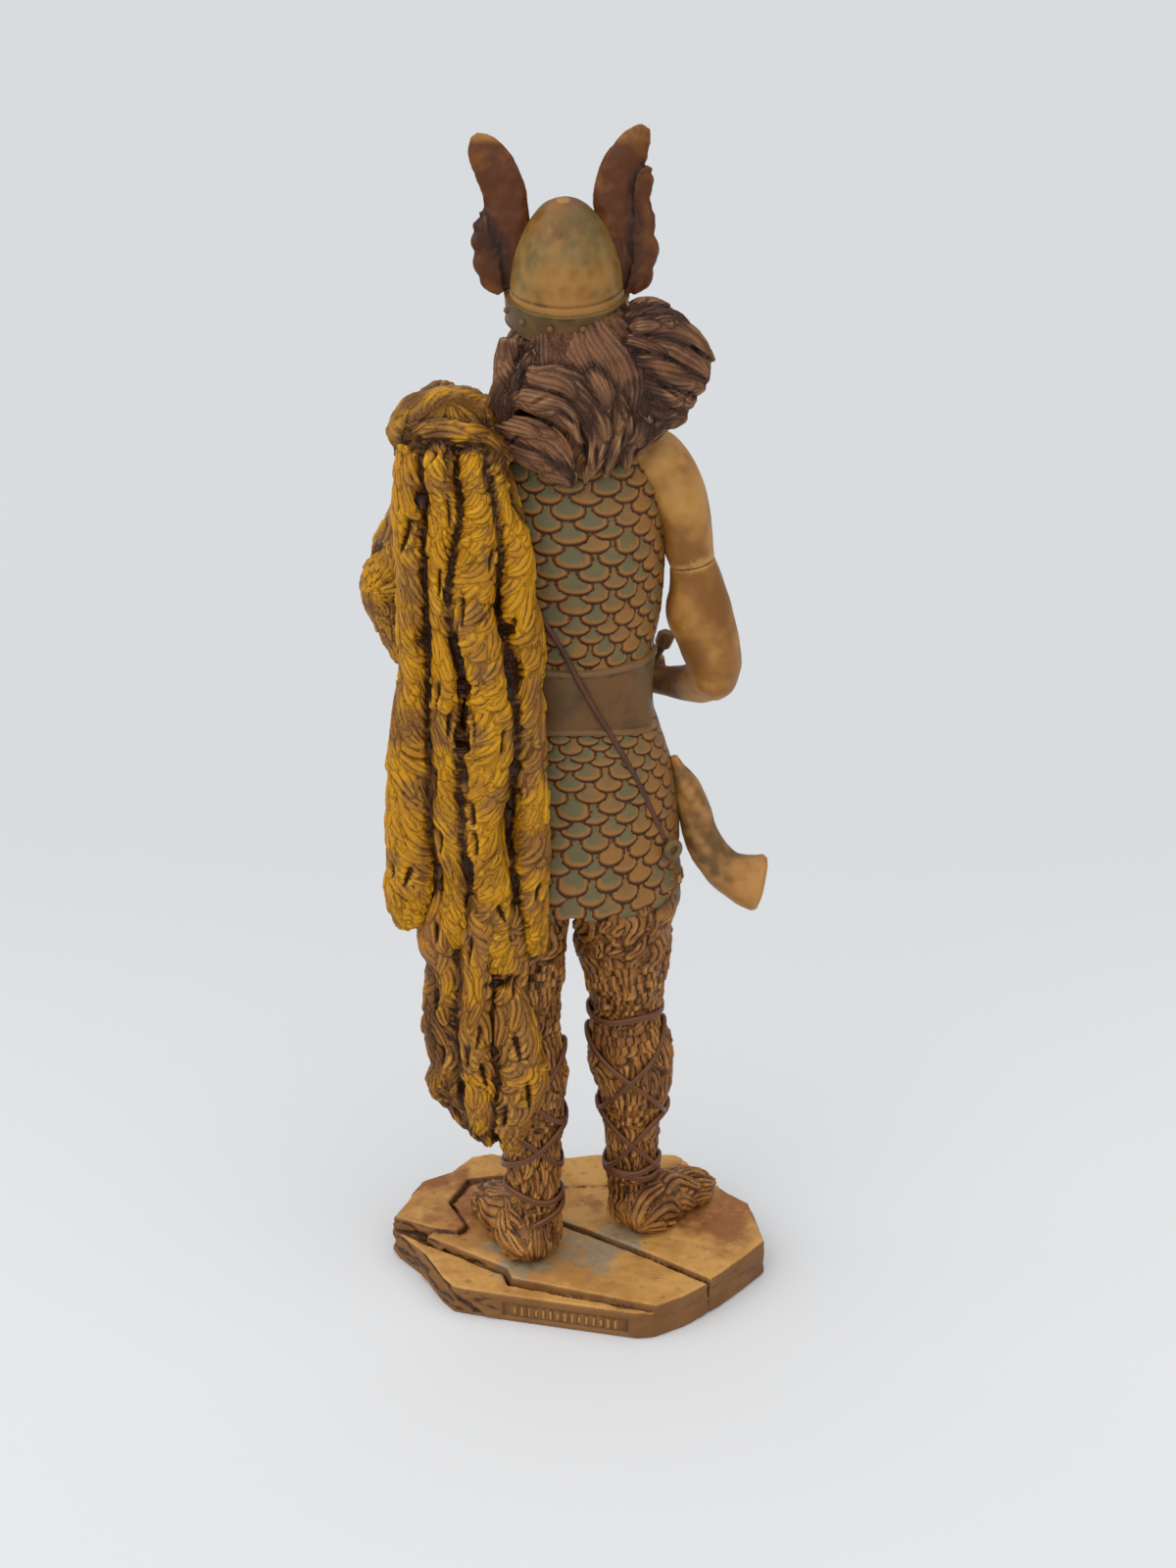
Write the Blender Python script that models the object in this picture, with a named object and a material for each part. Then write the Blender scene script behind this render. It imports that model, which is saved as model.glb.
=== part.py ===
"""A moulded figurine of a northern warrior, seen from behind in winged helmet, scale armour and fur cloak.

Four solids: the warrior, his glued-on right forearm, his drinking horn and the flagstone base.
Frame: origin under the middle of the base, +Z up, the figure faces -Y, his left hand is at +X.
Metres throughout. The figure is free-form, so its tables are in parts of its own height: PART is
one 262nd of the height from the soles to the crown. The base and the seams have sizes of their own.
"""

import math

import bmesh
import bpy
import numpy as np
from mathutils import Matrix

FIGURE_HEIGHT = 0.262   # soles to crown, without the helmet's dome
PART = FIGURE_HEIGHT / 262

SEAM = 0.0003           # the glue line between two pieces
LEDGE_HEIGHT = 0.008    # top of the low slab behind the figure's heels
LEFT_STONE_TOP = 0.0098   # top of the stone under the left boot
RIGHT_STONE_TOP = 0.0107  # top of the stone under the right boot
FAR_STONE_TOP = 0.0114    # top of the stone before the figure's toes
CRACK_WIDTH = 0.0009    # gap between two flagstones
CRACK_DEPTH = 0.0032
CORE_INSET = 0.0004     # how far the bed under the stones stands in from their faces
STONE_BEVEL = 0.0006
BASE_HALF_WIDTH = 0.0514
BASE_HALF_DEPTH = 0.0395
PLAQUE_LENGTH = 0.0350  # recessed panel on the base's rear edge
PLAQUE_HEIGHT = 0.0046
PLAQUE_DEPTH = 0.0009
PLAQUE_RISE = 0.0012    # height of the panel's lower edge
STROKE_WIDTH = 0.0007   # one shallow stroke of the worn line on the panel
STROKE_COUNT = 13
STROKE_SPREAD = 0.86    # share of the panel's length that the strokes fill
STROKE_TALL = 0.52      # height of most strokes, as a share of the panel's
STROKE_SHORT = 0.38     # height of every third one
STROKE_PROUD = 0.7      # how far they stand up from the panel's floor, as a share of its depth
CUTTER_OVERHANG = 0.004   # half of what the panel's cutter has outside the base

SOLE_RISE = RIGHT_STONE_TOP + SEAM          # the figure's own zero height
LEFT_DROP = (RIGHT_STONE_TOP - LEFT_STONE_TOP) / PART   # how much lower the left sole is

SCALES_ROUND = 16       # armour scales in one row
TORSO_ROWS = 12
SKIRT_ROWS = 10
FLAT_ENOUGH = math.radians(1)   # faces that meet at less than this become one
SCALE_LIFT = 0.6        # how far a scale's tip stands off, in parts

SKIN = ("skin", (0.40, 0.22, 0.085), 0.55)
MAIL = ("armour", (0.26, 0.19, 0.095), 0.5)
LEATHER = ("leather", (0.13, 0.085, 0.045), 0.5)
BRONZE = ("bronze paint", (0.33, 0.21, 0.08), 0.45)
FEATHER = ("feather", (0.12, 0.05, 0.02), 0.5)
HAIR = ("hair", (0.10, 0.055, 0.035), 0.5)
CLOAK_FUR = ("cloak fur", (0.45, 0.24, 0.03), 0.5)
LEG_FUR = ("leg fur", (0.35, 0.19, 0.07), 0.55)
HORN = ("horn", (0.30, 0.17, 0.06), 0.45)
STONE = ("stone", (0.48, 0.30, 0.13), 0.7)


def clear_scene():
    for thing in list(bpy.data.objects):
        bpy.data.objects.remove(thing, do_unlink=True)


def paint(finish):
    name, colour, roughness = finish
    material = bpy.data.materials.get(name) or bpy.data.materials.new(name)
    material.use_nodes = True
    shader = material.node_tree.nodes["Principled BSDF"]
    shader.inputs["Base Color"].default_value = (*colour, 1)
    shader.inputs["Roughness"].default_value = roughness
    return material


def placed(name, mesh, finish):
    mesh.materials.append(paint(finish))
    thing = bpy.data.objects.new(name, mesh)
    bpy.context.scene.collection.objects.link(thing)
    return thing


# Sweeps: every limb, fold and lock is a ball drawn out along a smooth path

def along_rows(rows, share):
    """The rows of a table read as one smooth curve that never overshoots them."""
    rows = np.asarray(rows, float)
    last = len(rows) - 1
    place = np.clip(np.asarray(share, float), 0, 1) * last
    first = np.minimum(place.astype(int), last - 1)
    t = (place - first)[:, None]
    step = np.diff(rows, axis=0)
    before, after = step[:-1], step[1:]
    same_way = before * after > 0
    total = np.where(same_way, before + after, 1)
    inner = np.where(same_way, 2 * before * after / total, 0)
    slope = np.concatenate([step[:1], inner, step[-1:]])
    a, b = rows[first], rows[first + 1]
    return ((2 * t**3 - 3 * t**2 + 1) * a + (t**3 - 2 * t**2 + t) * slope[first]
            + (3 * t**2 - 2 * t**3) * b + (t**3 - t**2) * slope[first + 1])


def unit(vectors):
    return vectors / np.maximum(np.linalg.norm(vectors, axis=-1, keepdims=True), 1e-12)


def signed_power(value, power):
    return np.sign(value) * np.abs(value) ** power


def swept(name, rows, around, along, finish, side=(1, 0, 0), relief=None, bend=None,
          square=1.0, floor=None, mouth=None):
    """A closed form along rows of (x, y, z, half width, half depth), all in parts.

    The first and last rows are flat ends. side is the way the width points. relief(turn, share)
    stands out from the form, bend(turn, share) moves its points, square under 1 makes the section
    fuller, floor is a level below which nothing reaches, and mouth=(depth, share of the girth)
    sinks the last end."""
    form = bmesh.new()
    bmesh.ops.create_uvsphere(form, u_segments=around, v_segments=along, radius=1)
    mesh = bpy.data.meshes.new(name)
    form.to_mesh(mesh)
    form.free()
    ball = np.empty(len(mesh.vertices) * 3, np.float32)
    mesh.vertices.foreach_get("co", ball)
    ball = ball.reshape(-1, 3).astype(float)
    turn = np.arctan2(ball[:, 1], ball[:, 0])
    ring = np.rint(np.arccos(np.clip(ball[:, 2], -1, 1)) / math.pi * along)
    girth = np.where((ring == 0) | (ring == along), 0.0, 1.0)
    sunk = np.zeros_like(ring)
    last_ring = along - 1
    if mouth:
        sunk[ring >= last_ring] = mouth[0]
        girth[ring == last_ring] = mouth[1]
        last_ring -= 1
    share = np.clip((ring - 1) / (last_ring - 1), 0, 1)
    row = along_rows(rows, share)
    nudge = 1e-3
    travel = unit(along_rows(rows, share + nudge)[:, :3] - along_rows(rows, share - nudge)[:, :3])
    wide = np.broadcast_to(np.asarray(side, float), travel.shape)
    wide = unit(wide - (wide * travel).sum(1, keepdims=True) * travel)
    deep = np.cross(wide, travel)
    across = signed_power(np.cos(turn), square) * girth * row[:, 3]
    upward = signed_power(np.sin(turn), square) * girth * row[:, 4]
    points = row[:, :3] + wide * across[:, None] + deep * upward[:, None] - travel * sunk[:, None]
    if relief:
        outward = unit(wide * (np.cos(turn) / row[:, 3])[:, None]
                       + deep * (np.sin(turn) / row[:, 4])[:, None])
        points += outward * (relief(turn, share) * girth)[:, None]
    if bend:
        points += bend(turn, share)
    if floor is not None:
        points[:, 2] = np.maximum(points[:, 2], floor)
    points *= PART
    points[:, 2] += SOLE_RISE
    mesh.vertices.foreach_set("co", points.astype(np.float32).ravel())
    mesh.update()
    if relief:
        split_low(mesh, relief(turn, share))
    return placed(name, mesh, finish)


def split_low(mesh, heights):
    """Splits each four-sided face between its two low corners, so that the high ones stand up."""
    form = bmesh.new()
    form.from_mesh(mesh)
    for face in [face for face in form.faces if len(face.verts) == 4]:
        corners = sorted(face.verts, key=lambda corner: heights[corner.index])
        bmesh.utils.face_split(face, corners[0], corners[1])
    form.to_mesh(mesh)
    form.free()


def combined(first, others, operation):
    """One mesh from forms that overlap, or from a form and what is cut out of it."""
    group = bpy.data.collections.new("operands")
    bpy.context.scene.collection.children.link(group)
    for form in others:
        group.objects.link(form)
    cut = first.modifiers.new("combine", "BOOLEAN")
    cut.operation = operation
    cut.operand_type = "COLLECTION"
    cut.collection = group
    cut.solver = "EXACT"
    cut.material_mode = "TRANSFER"
    bpy.context.view_layer.update()
    graph = bpy.context.evaluated_depsgraph_get()
    mesh = bpy.data.meshes.new_from_object(first.evaluated_get(graph))
    for form in [first, *others]:
        bpy.data.objects.remove(form, do_unlink=True)
    bpy.data.collections.remove(group)
    keep_outer_shell(mesh)
    return mesh


def solid(name, mesh):
    """A finished piece, shaded smooth between its sharper edges."""
    mesh.name = name
    form = bmesh.new()
    form.from_mesh(mesh)
    bmesh.ops.dissolve_limit(form, angle_limit=FLAT_ENOUGH, verts=form.verts, edges=form.edges)
    bmesh.ops.triangulate(form, faces=form.faces)
    form.to_mesh(mesh)
    form.free()
    keep_outer_shell(mesh)
    mesh.shade_smooth()
    mesh.set_sharp_from_angle(angle=math.radians(30))
    thing = bpy.data.objects.new(name, mesh)
    bpy.context.scene.collection.objects.link(thing)
    return thing


def keep_outer_shell(mesh):
    """Deletes closed pockets inside the solid: only the shell with the most faces stays."""
    form = bmesh.new()
    form.from_mesh(mesh)
    unseen = set(form.faces)
    shells = []
    while unseen:
        shell = []
        front = [unseen.pop()]
        while front:
            face = front.pop()
            shell.append(face)
            for edge in face.edges:
                for neighbour in edge.link_faces:
                    if neighbour in unseen:
                        unseen.remove(neighbour)
                        front.append(neighbour)
        shells.append(shell)
    shells.sort(key=len)
    spare = [face for shell in shells[:-1] for face in shell]
    bmesh.ops.delete(form, geom=spare, context="FACES")
    form.to_mesh(mesh)
    form.free()


# Armour: torso, skirt, belt, baldric and its ring

TORSO = [               # x, y, z, half width, half depth
    (1.5, -5.0, 228, 8.0, 6.0),
    (1.5, -5.0, 221, 20.0, 11.0),
    (1.4, -4.6, 211, 23.0, 13.4),
    (1.3, -4.2, 200, 23.2, 14.4),
    (1.2, -4.0, 189, 23.1, 14.2),
    (1.2, -4.0, 178, 22.4, 13.2),
    (1.2, -4.0, 167, 20.4, 12.2),
    (1.2, -4.0, 156, 19.4, 11.8),
]
SKIRT = [
    (1.2, -4.0, 154, 19.4, 12.0),
    (1.2, -4.0, 143, 21.2, 13.4),
    (1.2, -3.6, 131, 24.0, 15.2),
    (1.2, -3.2, 117, 26.6, 16.6),
    (1.2, -3.0, 101, 28.6, 17.8),
]
BELT = [
    (1.2, -4.0, 164.3, 21.2, 13.2),
    (1.2, -4.0, 156.0, 20.6, 12.9),
    (1.2, -4.0, 147.5, 21.4, 13.5),
]
BUCKLE = [
    (1.2, -15.0, 156.0, 5.0, 6.6),
    (1.2, -18.6, 156.0, 5.0, 6.6),
]
BALDRIC_BACK = [        # x and z down the armour's back, from under the cloak to the right hip
    (12.0, 185), (7.3, 176.5), (3.4, 170), (-0.4, 162.4), (-5.2, 153.3), (-8.9, 146.7),
    (-13.9, 137.5), (-19.0, 126.4), (-22.4, 118),
]
BALDRIC_FRONT = [       # and down its front, from the left shoulder
    (18.0, 200), (10.0, 186), (3.0, 173), (-3.6, 161), (-9.4, 149), (-15.6, 136), (-21.4, 121),
]
BALDRIC_HALF = 0.7      # half its thickness
RING_MIDDLE = (-23.4, 5.7, 115.3)   # of the baldric's lower ring
RING_TURN = math.radians(34)        # how far it is turned about the vertical from facing the back
RING_RADIUS = 1.95
RING_WIRE = 0.75


def scale_lattice(rows):
    """Scale tips and the notches between them, alternating from row to row."""
    def relief(turn, share):
        column = np.rint(turn / math.pi * SCALES_ROUND)
        row = np.rint(share * rows)
        return np.where((column + row) % 2 == 0, SCALE_LIFT, -SCALE_LIFT)
    return relief


def hem_dip(turn, share):
    """The skirt hangs lowest at the middle of the back and rises at the sides."""
    drop = 5.4 * np.abs(np.sin(turn)) - 3.2
    return np.stack([0 * turn, 0 * turn, -drop * share**3], 1)


def belt_spread(turn, share):
    """The belt is tallest over the hips."""
    hip = np.cos(turn) ** 2
    return np.stack([0 * turn, 0 * turn, hip * (2.6 - 4.7 * share)], 1)


def on_armour(x, z, facing):
    """The depth of the armour's back (facing 1) or front (-1) at a place across and up."""
    rows = TORSO if z >= TORSO[-1][2] else SKIRT
    heights = np.array([row[2] for row in rows], float)
    share = np.interp(-z, -heights, np.linspace(0, 1, len(rows)))
    middle_x, middle_y, _, half_width, half_depth = along_rows(rows, [share])[0]
    if BELT[-1][2] < z < BELT[0][2]:
        half_width, half_depth = BELT[1][3], BELT[1][4]
    across = min(abs(x - middle_x) / half_width, 0.97)
    return middle_y + facing * half_depth * math.sqrt(1 - across**2)


def baldric(name, places, facing):
    rows = [(x, on_armour(x, z, facing) + facing * 0.5 * BALDRIC_HALF, z, BALDRIC_HALF, BALDRIC_HALF)
            for x, z in places]
    return swept(name, rows, 4, 9, LEATHER, side=(0, 1, 0))


def ring_form():
    """A ring of wire that hangs against the hip, made by turning a round section."""
    form = bmesh.new()
    rim = bmesh.ops.create_circle(form, segments=4, radius=RING_WIRE * PART, cap_ends=False)["verts"]
    for vertex in rim:
        vertex.co = (RING_RADIUS * PART + vertex.co.x, vertex.co.y, 0)
    bmesh.ops.spin(form, geom=form.verts[:] + form.edges[:], cent=(0, 0, 0), axis=(0, 1, 0),
                   angle=2 * math.pi, steps=9, use_merge=True)
    bmesh.ops.remove_doubles(form, verts=form.verts, dist=1e-6)
    bmesh.ops.recalc_face_normals(form, faces=form.faces)
    bmesh.ops.rotate(form, verts=form.verts, cent=(0, 0, 0), matrix=Matrix.Rotation(RING_TURN, 3, "Z"))
    x, y, z = RING_MIDDLE
    bmesh.ops.translate(form, verts=form.verts, vec=(x * PART, y * PART, z * PART + SOLE_RISE))
    mesh = bpy.data.meshes.new("ring")
    form.to_mesh(mesh)
    form.free()
    return placed("ring", mesh, LEATHER)


def armour():
    torso = swept("torso", TORSO, 2 * SCALES_ROUND, TORSO_ROWS + 2, MAIL,
                  relief=scale_lattice(TORSO_ROWS), square=0.92)
    skirt = swept("skirt", SKIRT, 2 * SCALES_ROUND, SKIRT_ROWS + 2, MAIL,
                  relief=scale_lattice(SKIRT_ROWS), bend=hem_dip, square=0.95)
    belt = swept("belt", BELT, 20, 4, LEATHER, bend=belt_spread, square=0.92)
    buckle = swept("buckle", BUCKLE, 8, 3, BRONZE, side=(0, 0, 1), square=0.6)
    back = baldric("baldric back", BALDRIC_BACK, 1)
    front = baldric("baldric front", BALDRIC_FRONT, -1)
    return [torso, skirt, belt, buckle, back, front, ring_form()]


# Head: neck, face, beard, helmet and wings

HEAD = [
    (2.2, -5.0, 266, 9.0, 9.5),
    (2.2, -7.0, 255, 12.0, 13.2),
    (2.1, -8.4, 246, 11.8, 13.4),
    (2.0, -9.2, 237, 10.2, 12.4),
    (2.0, -8.4, 229, 8.2, 9.4),
    (2.0, -6.0, 219, 9.0, 8.5),
]
NOSE = [
    (2.1, -20.6, 251.0, 1.0, 1.4),
    (2.1, -22.2, 246.5, 1.3, 1.7),
    (2.1, -23.6, 241.6, 2.3, 2.1),
    (2.1, -22.6, 239.6, 1.4, 1.2),
]
BROW = [                # half of each pair: offsets from the middle, mirrored
    (1.4, -21.6, 249.6, 1.0, 1.1),
    (4.8, -20.9, 250.6, 1.2, 1.3),
    (8.6, -18.0, 249.2, 0.9, 1.0),
]
EYE = [
    (4.3, -19.8, 248.3, 0.8, 0.8),
    (4.3, -19.9, 247.4, 1.7, 1.3),
    (4.3, -19.8, 246.4, 0.8, 0.8),
]
MOUSTACHE = [
    (0.3, -22.4, 238.8, 1.4, 1.4),
    (3.6, -22.0, 237.2, 1.8, 1.6),
    (7.2, -19.8, 233.4, 1.5, 1.3),
    (9.0, -18.6, 229.4, 0.6, 0.6),
]
BEARD = [
    (2.1, -15.6, 240.0, 9.6, 5.4),
    (2.1, -17.2, 233.0, 10.0, 6.2),
    (2.1, -18.8, 225.0, 8.6, 5.6),
    (2.1, -19.4, 217.0, 6.2, 4.4),
    (2.3, -19.0, 209.5, 3.2, 2.6),
    (2.6, -18.4, 205.0, 0.9, 0.9),
]
DOME = [                # the helmet, leaning back
    (3.0, -0.5, 279.2, 1.2, 1.2),
    (2.9, -0.9, 277.7, 4.8, 4.8),
    (2.8, -1.5, 274.9, 7.6, 7.6),
    (2.6, -2.7, 269.3, 11.1, 11.1),
    (2.4, -4.0, 262.5, 13.3, 13.4),
    (2.3, -5.4, 256.0, 14.1, 14.4),
]
RIM = [
    (2.3, -5.1, 256.9, 14.2, 14.5),
    (2.3, -5.3, 256.1, 14.9, 15.2),
    (2.2, -6.5, 250.6, 14.9, 15.2),
    (2.2, -6.7, 249.8, 14.2, 14.5),
]
RIVETS = 10
RIVET_RADIUS = 0.55
RIM_TILT = 0.21         # how much the rim falls toward the nape, in parts of its depth
WINGS = {               # two blades of feathers on each side of the helmet
    "left upper wing": [
        (14.6, -4.0, 258, 2.6, 1.6), (16.4, -4.0, 263, 6.4, 2.0), (17.5, -4.2, 271, 6.6, 2.1),
        (17.6, -4.6, 279, 5.9, 1.8), (20.2, -5.2, 286, 5.6, 1.6), (22.6, -5.8, 291, 3.6, 1.3),
        (24.0, -6.0, 293.4, 1.2, 0.8)],
    "left lower wing": [
        (18.0, -3.2, 256.6, 1.6, 1.2), (20.4, -3.2, 262, 3.8, 1.7), (21.0, -3.4, 268, 3.8, 1.6),
        (21.8, -3.6, 273, 2.6, 1.2), (22.4, -3.8, 276, 0.8, 0.8)],
    "right upper wing": [
        (-9.6, -4.0, 258, 2.6, 1.6), (-11.4, -4.0, 263, 6.0, 2.0), (-11.4, -4.2, 271, 6.4, 2.1),
        (-9.8, -4.6, 279, 5.9, 1.8), (-12.0, -5.2, 287, 5.3, 1.6), (-14.6, -5.8, 292.6, 3.4, 1.3),
        (-16.4, -6.0, 295.2, 1.2, 0.8)],
    "right lower wing": [
        (-13.0, -3.2, 256.6, 1.6, 1.2), (-15.4, -3.2, 262, 3.4, 1.7), (-15.8, -3.4, 268.5, 3.5, 1.6),
        (-15.4, -3.6, 276, 2.6, 1.3), (-16.2, -3.8, 284, 2.1, 1.1), (-17.2, -4.0, 286.4, 0.7, 0.7)],
}
FACE_MIDDLE = 2.1       # the head turns a little to the figure's left


def mirrored(rows):
    """The other one of a pair about the middle of the face."""
    return [(2 * FACE_MIDDLE - x, *rest) for x, *rest in rows]


def paired(name, rows, around, along, finish, side=(1, 0, 0)):
    own = [(FACE_MIDDLE + x, *rest) for x, *rest in rows]
    return [swept("left " + name, own, around, along, finish, side),
            swept("right " + name, mirrored(own), around, along, finish, side)]


def helmet():
    dome = swept("dome", DOME, 14, 6, BRONZE)
    rim = swept("rim", RIM, 18, 5, BRONZE)
    rivets = []
    for count in range(RIVETS):
        angle = 2 * math.pi * (count + 0.5) / RIVETS
        across = math.cos(angle) * RIM[1][3]
        back = math.sin(angle) * RIM[1][4]
        x = RIM[1][0] + across
        y = (RIM[1][1] + RIM[2][1]) / 2 + back
        z = (RIM[1][2] + RIM[2][2]) / 2 - back * RIM_TILT
        rivets.append(swept("rivet", [(x, y, z + RIVET_RADIUS, 0.3, 0.3),
                                      (x, y, z, RIVET_RADIUS, RIVET_RADIUS),
                                      (x, y, z - RIVET_RADIUS, 0.3, 0.3)], 4, 3, BRONZE))
    wings = [swept(name, rows, 6, 8, FEATHER, square=0.8) for name, rows in WINGS.items()]
    return [dome, rim, *rivets, *wings]


def head():
    face = swept("head", HEAD, 14, 8, SKIN)
    nose = swept("nose", NOSE, 6, 6, SKIN)
    beard = swept("beard", BEARD, 12, 8, HAIR)
    return [face, nose, beard,
            *paired("brow", BROW, 4, 4, HAIR, (0, 0, 1)),
            *paired("eye", EYE, 6, 4, SKIN),
            *paired("moustache", MOUSTACHE, 5, 5, HAIR, (0, 0, 1))]


# Hair: a core under eleven long locks, blown to the figure's right

HAIR_CORE = [
    (1.0, 0.5, 250, 12.0, 7.5),
    (-2.0, 3.2, 243.4, 16.0, 8.0),
    (-4.6, 4.6, 236.4, 18.4, 9.0),
    (-3.6, 6.2, 228, 15.0, 7.2),
    (-1.0, 8.5, 220, 10.0, 4.0),
    (-0.5, 9.0, 215, 4.0, 2.0),
]
FALLING_LOCKS = [       # each comes out from under the rim
    [(11.4, 2.2, 247.5, 4.0, 4.0), (14.2, 6.4, 241.5, 4.8, 4.4), (15.6, 10.0, 232, 4.6, 4.0),
     (13.6, 11.6, 224, 3.4, 3.0), (9.6, 11.8, 218.0, 0.9, 0.9)],
    [(7.0, 3.8, 246.5, 4.4, 4.0), (9.0, 8.6, 240, 5.0, 4.4), (8.0, 12.2, 230, 4.9, 4.0),
     (6.0, 12.8, 221, 3.6, 2.8), (2.4, 12.2, 214.0, 0.9, 0.9)],
    [(1.0, 4.4, 246, 4.4, 4.0), (2.0, 9.2, 239.5, 5.2, 4.4), (0.8, 13.0, 230, 4.9, 4.0),
     (-1.2, 13.2, 220, 3.7, 2.8), (-4.0, 12.2, 213.2, 0.9, 0.9)],
    [(-5.0, 4.0, 247, 4.4, 4.0), (-7.2, 8.8, 241, 5.2, 4.4), (-7.0, 12.6, 233, 5.0, 4.2),
     (-8.6, 13.0, 224, 3.8, 2.8), (-12.2, 11.8, 214.6, 0.9, 0.9)],
    [(-9.5, 2.2, 249, 4.2, 4.0), (-14.6, 7.2, 245, 5.1, 4.4), (-16.0, 10.2, 238, 5.0, 4.2),
     (-14.0, 11.2, 230, 4.0, 3.2), (-16.4, 10.2, 221.0, 0.9, 0.9)],
    [(-11.5, 0.6, 252, 4.0, 4.0), (-19.2, 5.6, 248.6, 4.9, 4.3), (-23.0, 8.4, 240, 4.6, 4.0),
     (-20.6, 9.4, 232, 3.2, 2.8), (-21.6, 9.0, 227.6, 0.9, 0.9)],
    [(13.6, -3.0, 252, 3.0, 4.0), (16.0, -3.6, 244, 3.2, 4.2), (15.6, -5.0, 235, 3.2, 4.2),
     (13.0, -7.0, 227, 2.6, 3.4), (10.5, -9.0, 221, 0.9, 0.9)],
    [(-9.4, -3.0, 252, 3.0, 4.0), (-12.4, -3.6, 244, 3.2, 4.2), (-12.0, -5.0, 235, 3.2, 4.2),
     (-9.4, -7.0, 227, 2.6, 3.4), (-6.6, -9.0, 221, 0.9, 0.9)],
]
BLOWN_LOCKS = [         # these travel sideways, so their widths lie along y
    [(-9, 0.4, 252, 4.0, 4.2), (-16.8, 4.6, 250, 5.0, 5.2), (-23.4, 6.8, 242.4, 4.6, 4.8),
     (-26.6, 7.2, 237.6, 2.8, 3.0), (-30.4, 7.0, 235.0, 0.8, 0.8)],
    [(-10, -2.0, 253, 3.8, 3.8), (-16.8, 1.8, 253.8, 4.6, 4.4), (-23, 3.7, 250.4, 4.4, 4.2),
     (-28, 4.6, 245.8, 2.6, 2.6), (-32.4, 5.0, 242.8, 0.7, 0.7)],
    [(-14, 2.0, 248, 4.2, 4.0), (-20.6, 5.6, 245.8, 4.6, 4.4), (-26, 6.4, 241.6, 3.4, 3.2),
     (-31.3, 6.2, 237.4, 0.7, 0.7)],
]


def hair():
    core = swept("hair core", HAIR_CORE, 13, 8, HAIR)
    falling = [swept("lock", rows, 6, 6, HAIR) for rows in FALLING_LOCKS]
    blown = [swept("blown lock", rows, 6, 6, HAIR, side=(0, 1, 0)) for rows in BLOWN_LOCKS]
    return [core, *falling, *blown]


# Cloak: four rope-like folds over a backing, a longer lower layer, and the roll on the shoulder

CLOAK_BACKING = [
    (29.5, 9.0, 226, 10.0, 5.0),
    (27.0, 10.5, 210, 13.0, 5.0),
    (26.0, 11.0, 190, 15.5, 4.6),
    (26.0, 11.6, 165, 17.0, 4.6),
    (28.0, 12.0, 140, 18.0, 4.6),
    (28.0, 12.4, 115, 18.6, 4.6),
    (27.0, 12.6, 97, 15.0, 3.6),
]
FOLDS = [
    [(39.0, 9, 222, 4.4, 4.6), (39.4, 12, 205, 4.8, 5.4), (38.8, 14, 185, 4.2, 5.6),
     (39.4, 15, 165, 4.9, 5.8), (40.8, 15.6, 145, 6.0, 5.8), (42.2, 15.6, 124, 7.4, 5.6),
     (42.2, 15.2, 107, 6.9, 5.0), (42.6, 14.6, 98, 4.0, 3.0)],
    [(31.6, 10, 228, 4.2, 5.0), (32.2, 14, 214, 4.4, 5.6), (32.0, 16, 200, 4.2, 6.0),
     (31.8, 17, 182, 4.6, 6.2), (31.4, 17, 163, 4.8, 6.2), (31.0, 17, 143, 5.0, 6.2),
     (31.0, 17, 123, 5.2, 6.0), (30.8, 16.4, 105, 4.8, 5.2), (30.4, 16.0, 93, 3.0, 3.0)],
    [(24.4, 10, 228, 4.0, 5.0), (24.8, 15, 215, 5.0, 6.2), (23.8, 17.6, 200, 5.6, 6.8),
     (22.6, 18.6, 184, 6.0, 7.0), (21.6, 19.0, 165, 6.4, 7.2), (21.0, 19.0, 145, 6.4, 7.2),
     (21.4, 18.8, 124, 6.0, 6.8), (21.0, 18.2, 104, 6.0, 6.2), (19.8, 17.6, 86, 3.6, 3.6)],
    [(20.0, 9, 226, 2.6, 3.4), (18.6, 12, 215, 3.6, 4.4), (16.0, 14.4, 204, 4.2, 5.0),
     (13.2, 16.0, 191, 4.9, 5.8), (11.8, 16.8, 176, 4.8, 6.0), (11.5, 17.0, 160, 4.7, 6.2),
     (11.4, 17.0, 143, 4.8, 6.2), (11.8, 16.8, 123, 5.0, 6.0), (10.6, 16.2, 106, 5.0, 5.6),
     (10.6, 15.6, 91, 3.2, 3.2)],
]
LOWER_BACKING = [
    (26.0, 12.6, 106, 13.0, 5.0),
    (26.0, 13.6, 88, 13.2, 5.2),
    (26.2, 14.4, 70, 14.0, 5.4),
    (24.8, 14.8, 54, 12.4, 5.0),
    (22.6, 15.4, 42, 8.6, 4.2),
    (20.6, 15.8, 35, 3.6, 2.4),
]
LOWER_LAYER = [
    [(32.0, 13.4, 108, 5.4, 5.0), (32.4, 14.4, 92, 5.6, 5.2), (33.4, 15.0, 78, 5.8, 5.4),
     (34.8, 15.2, 66, 6.0, 5.0), (33.2, 15.0, 54, 4.8, 4.2), (33.4, 14.6, 46, 2.6, 2.6)],
    [(25.0, 14.0, 108, 5.6, 5.4), (25.2, 15.6, 92, 5.8, 6.0), (25.6, 16.4, 77, 6.0, 6.2),
     (26.0, 16.8, 61, 6.2, 6.0), (25.8, 16.8, 48, 5.4, 5.2), (26.8, 16.4, 37, 2.4, 2.6)],
    [(17.6, 13.6, 108, 5.4, 5.2), (18.0, 15.4, 92, 5.2, 5.8), (17.6, 16.4, 76, 6.2, 6.2),
     (16.4, 17.0, 60, 7.2, 6.2), (16.0, 17.2, 46, 6.6, 5.8), (18.0, 17.0, 33, 2.6, 2.8)],
]
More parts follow.
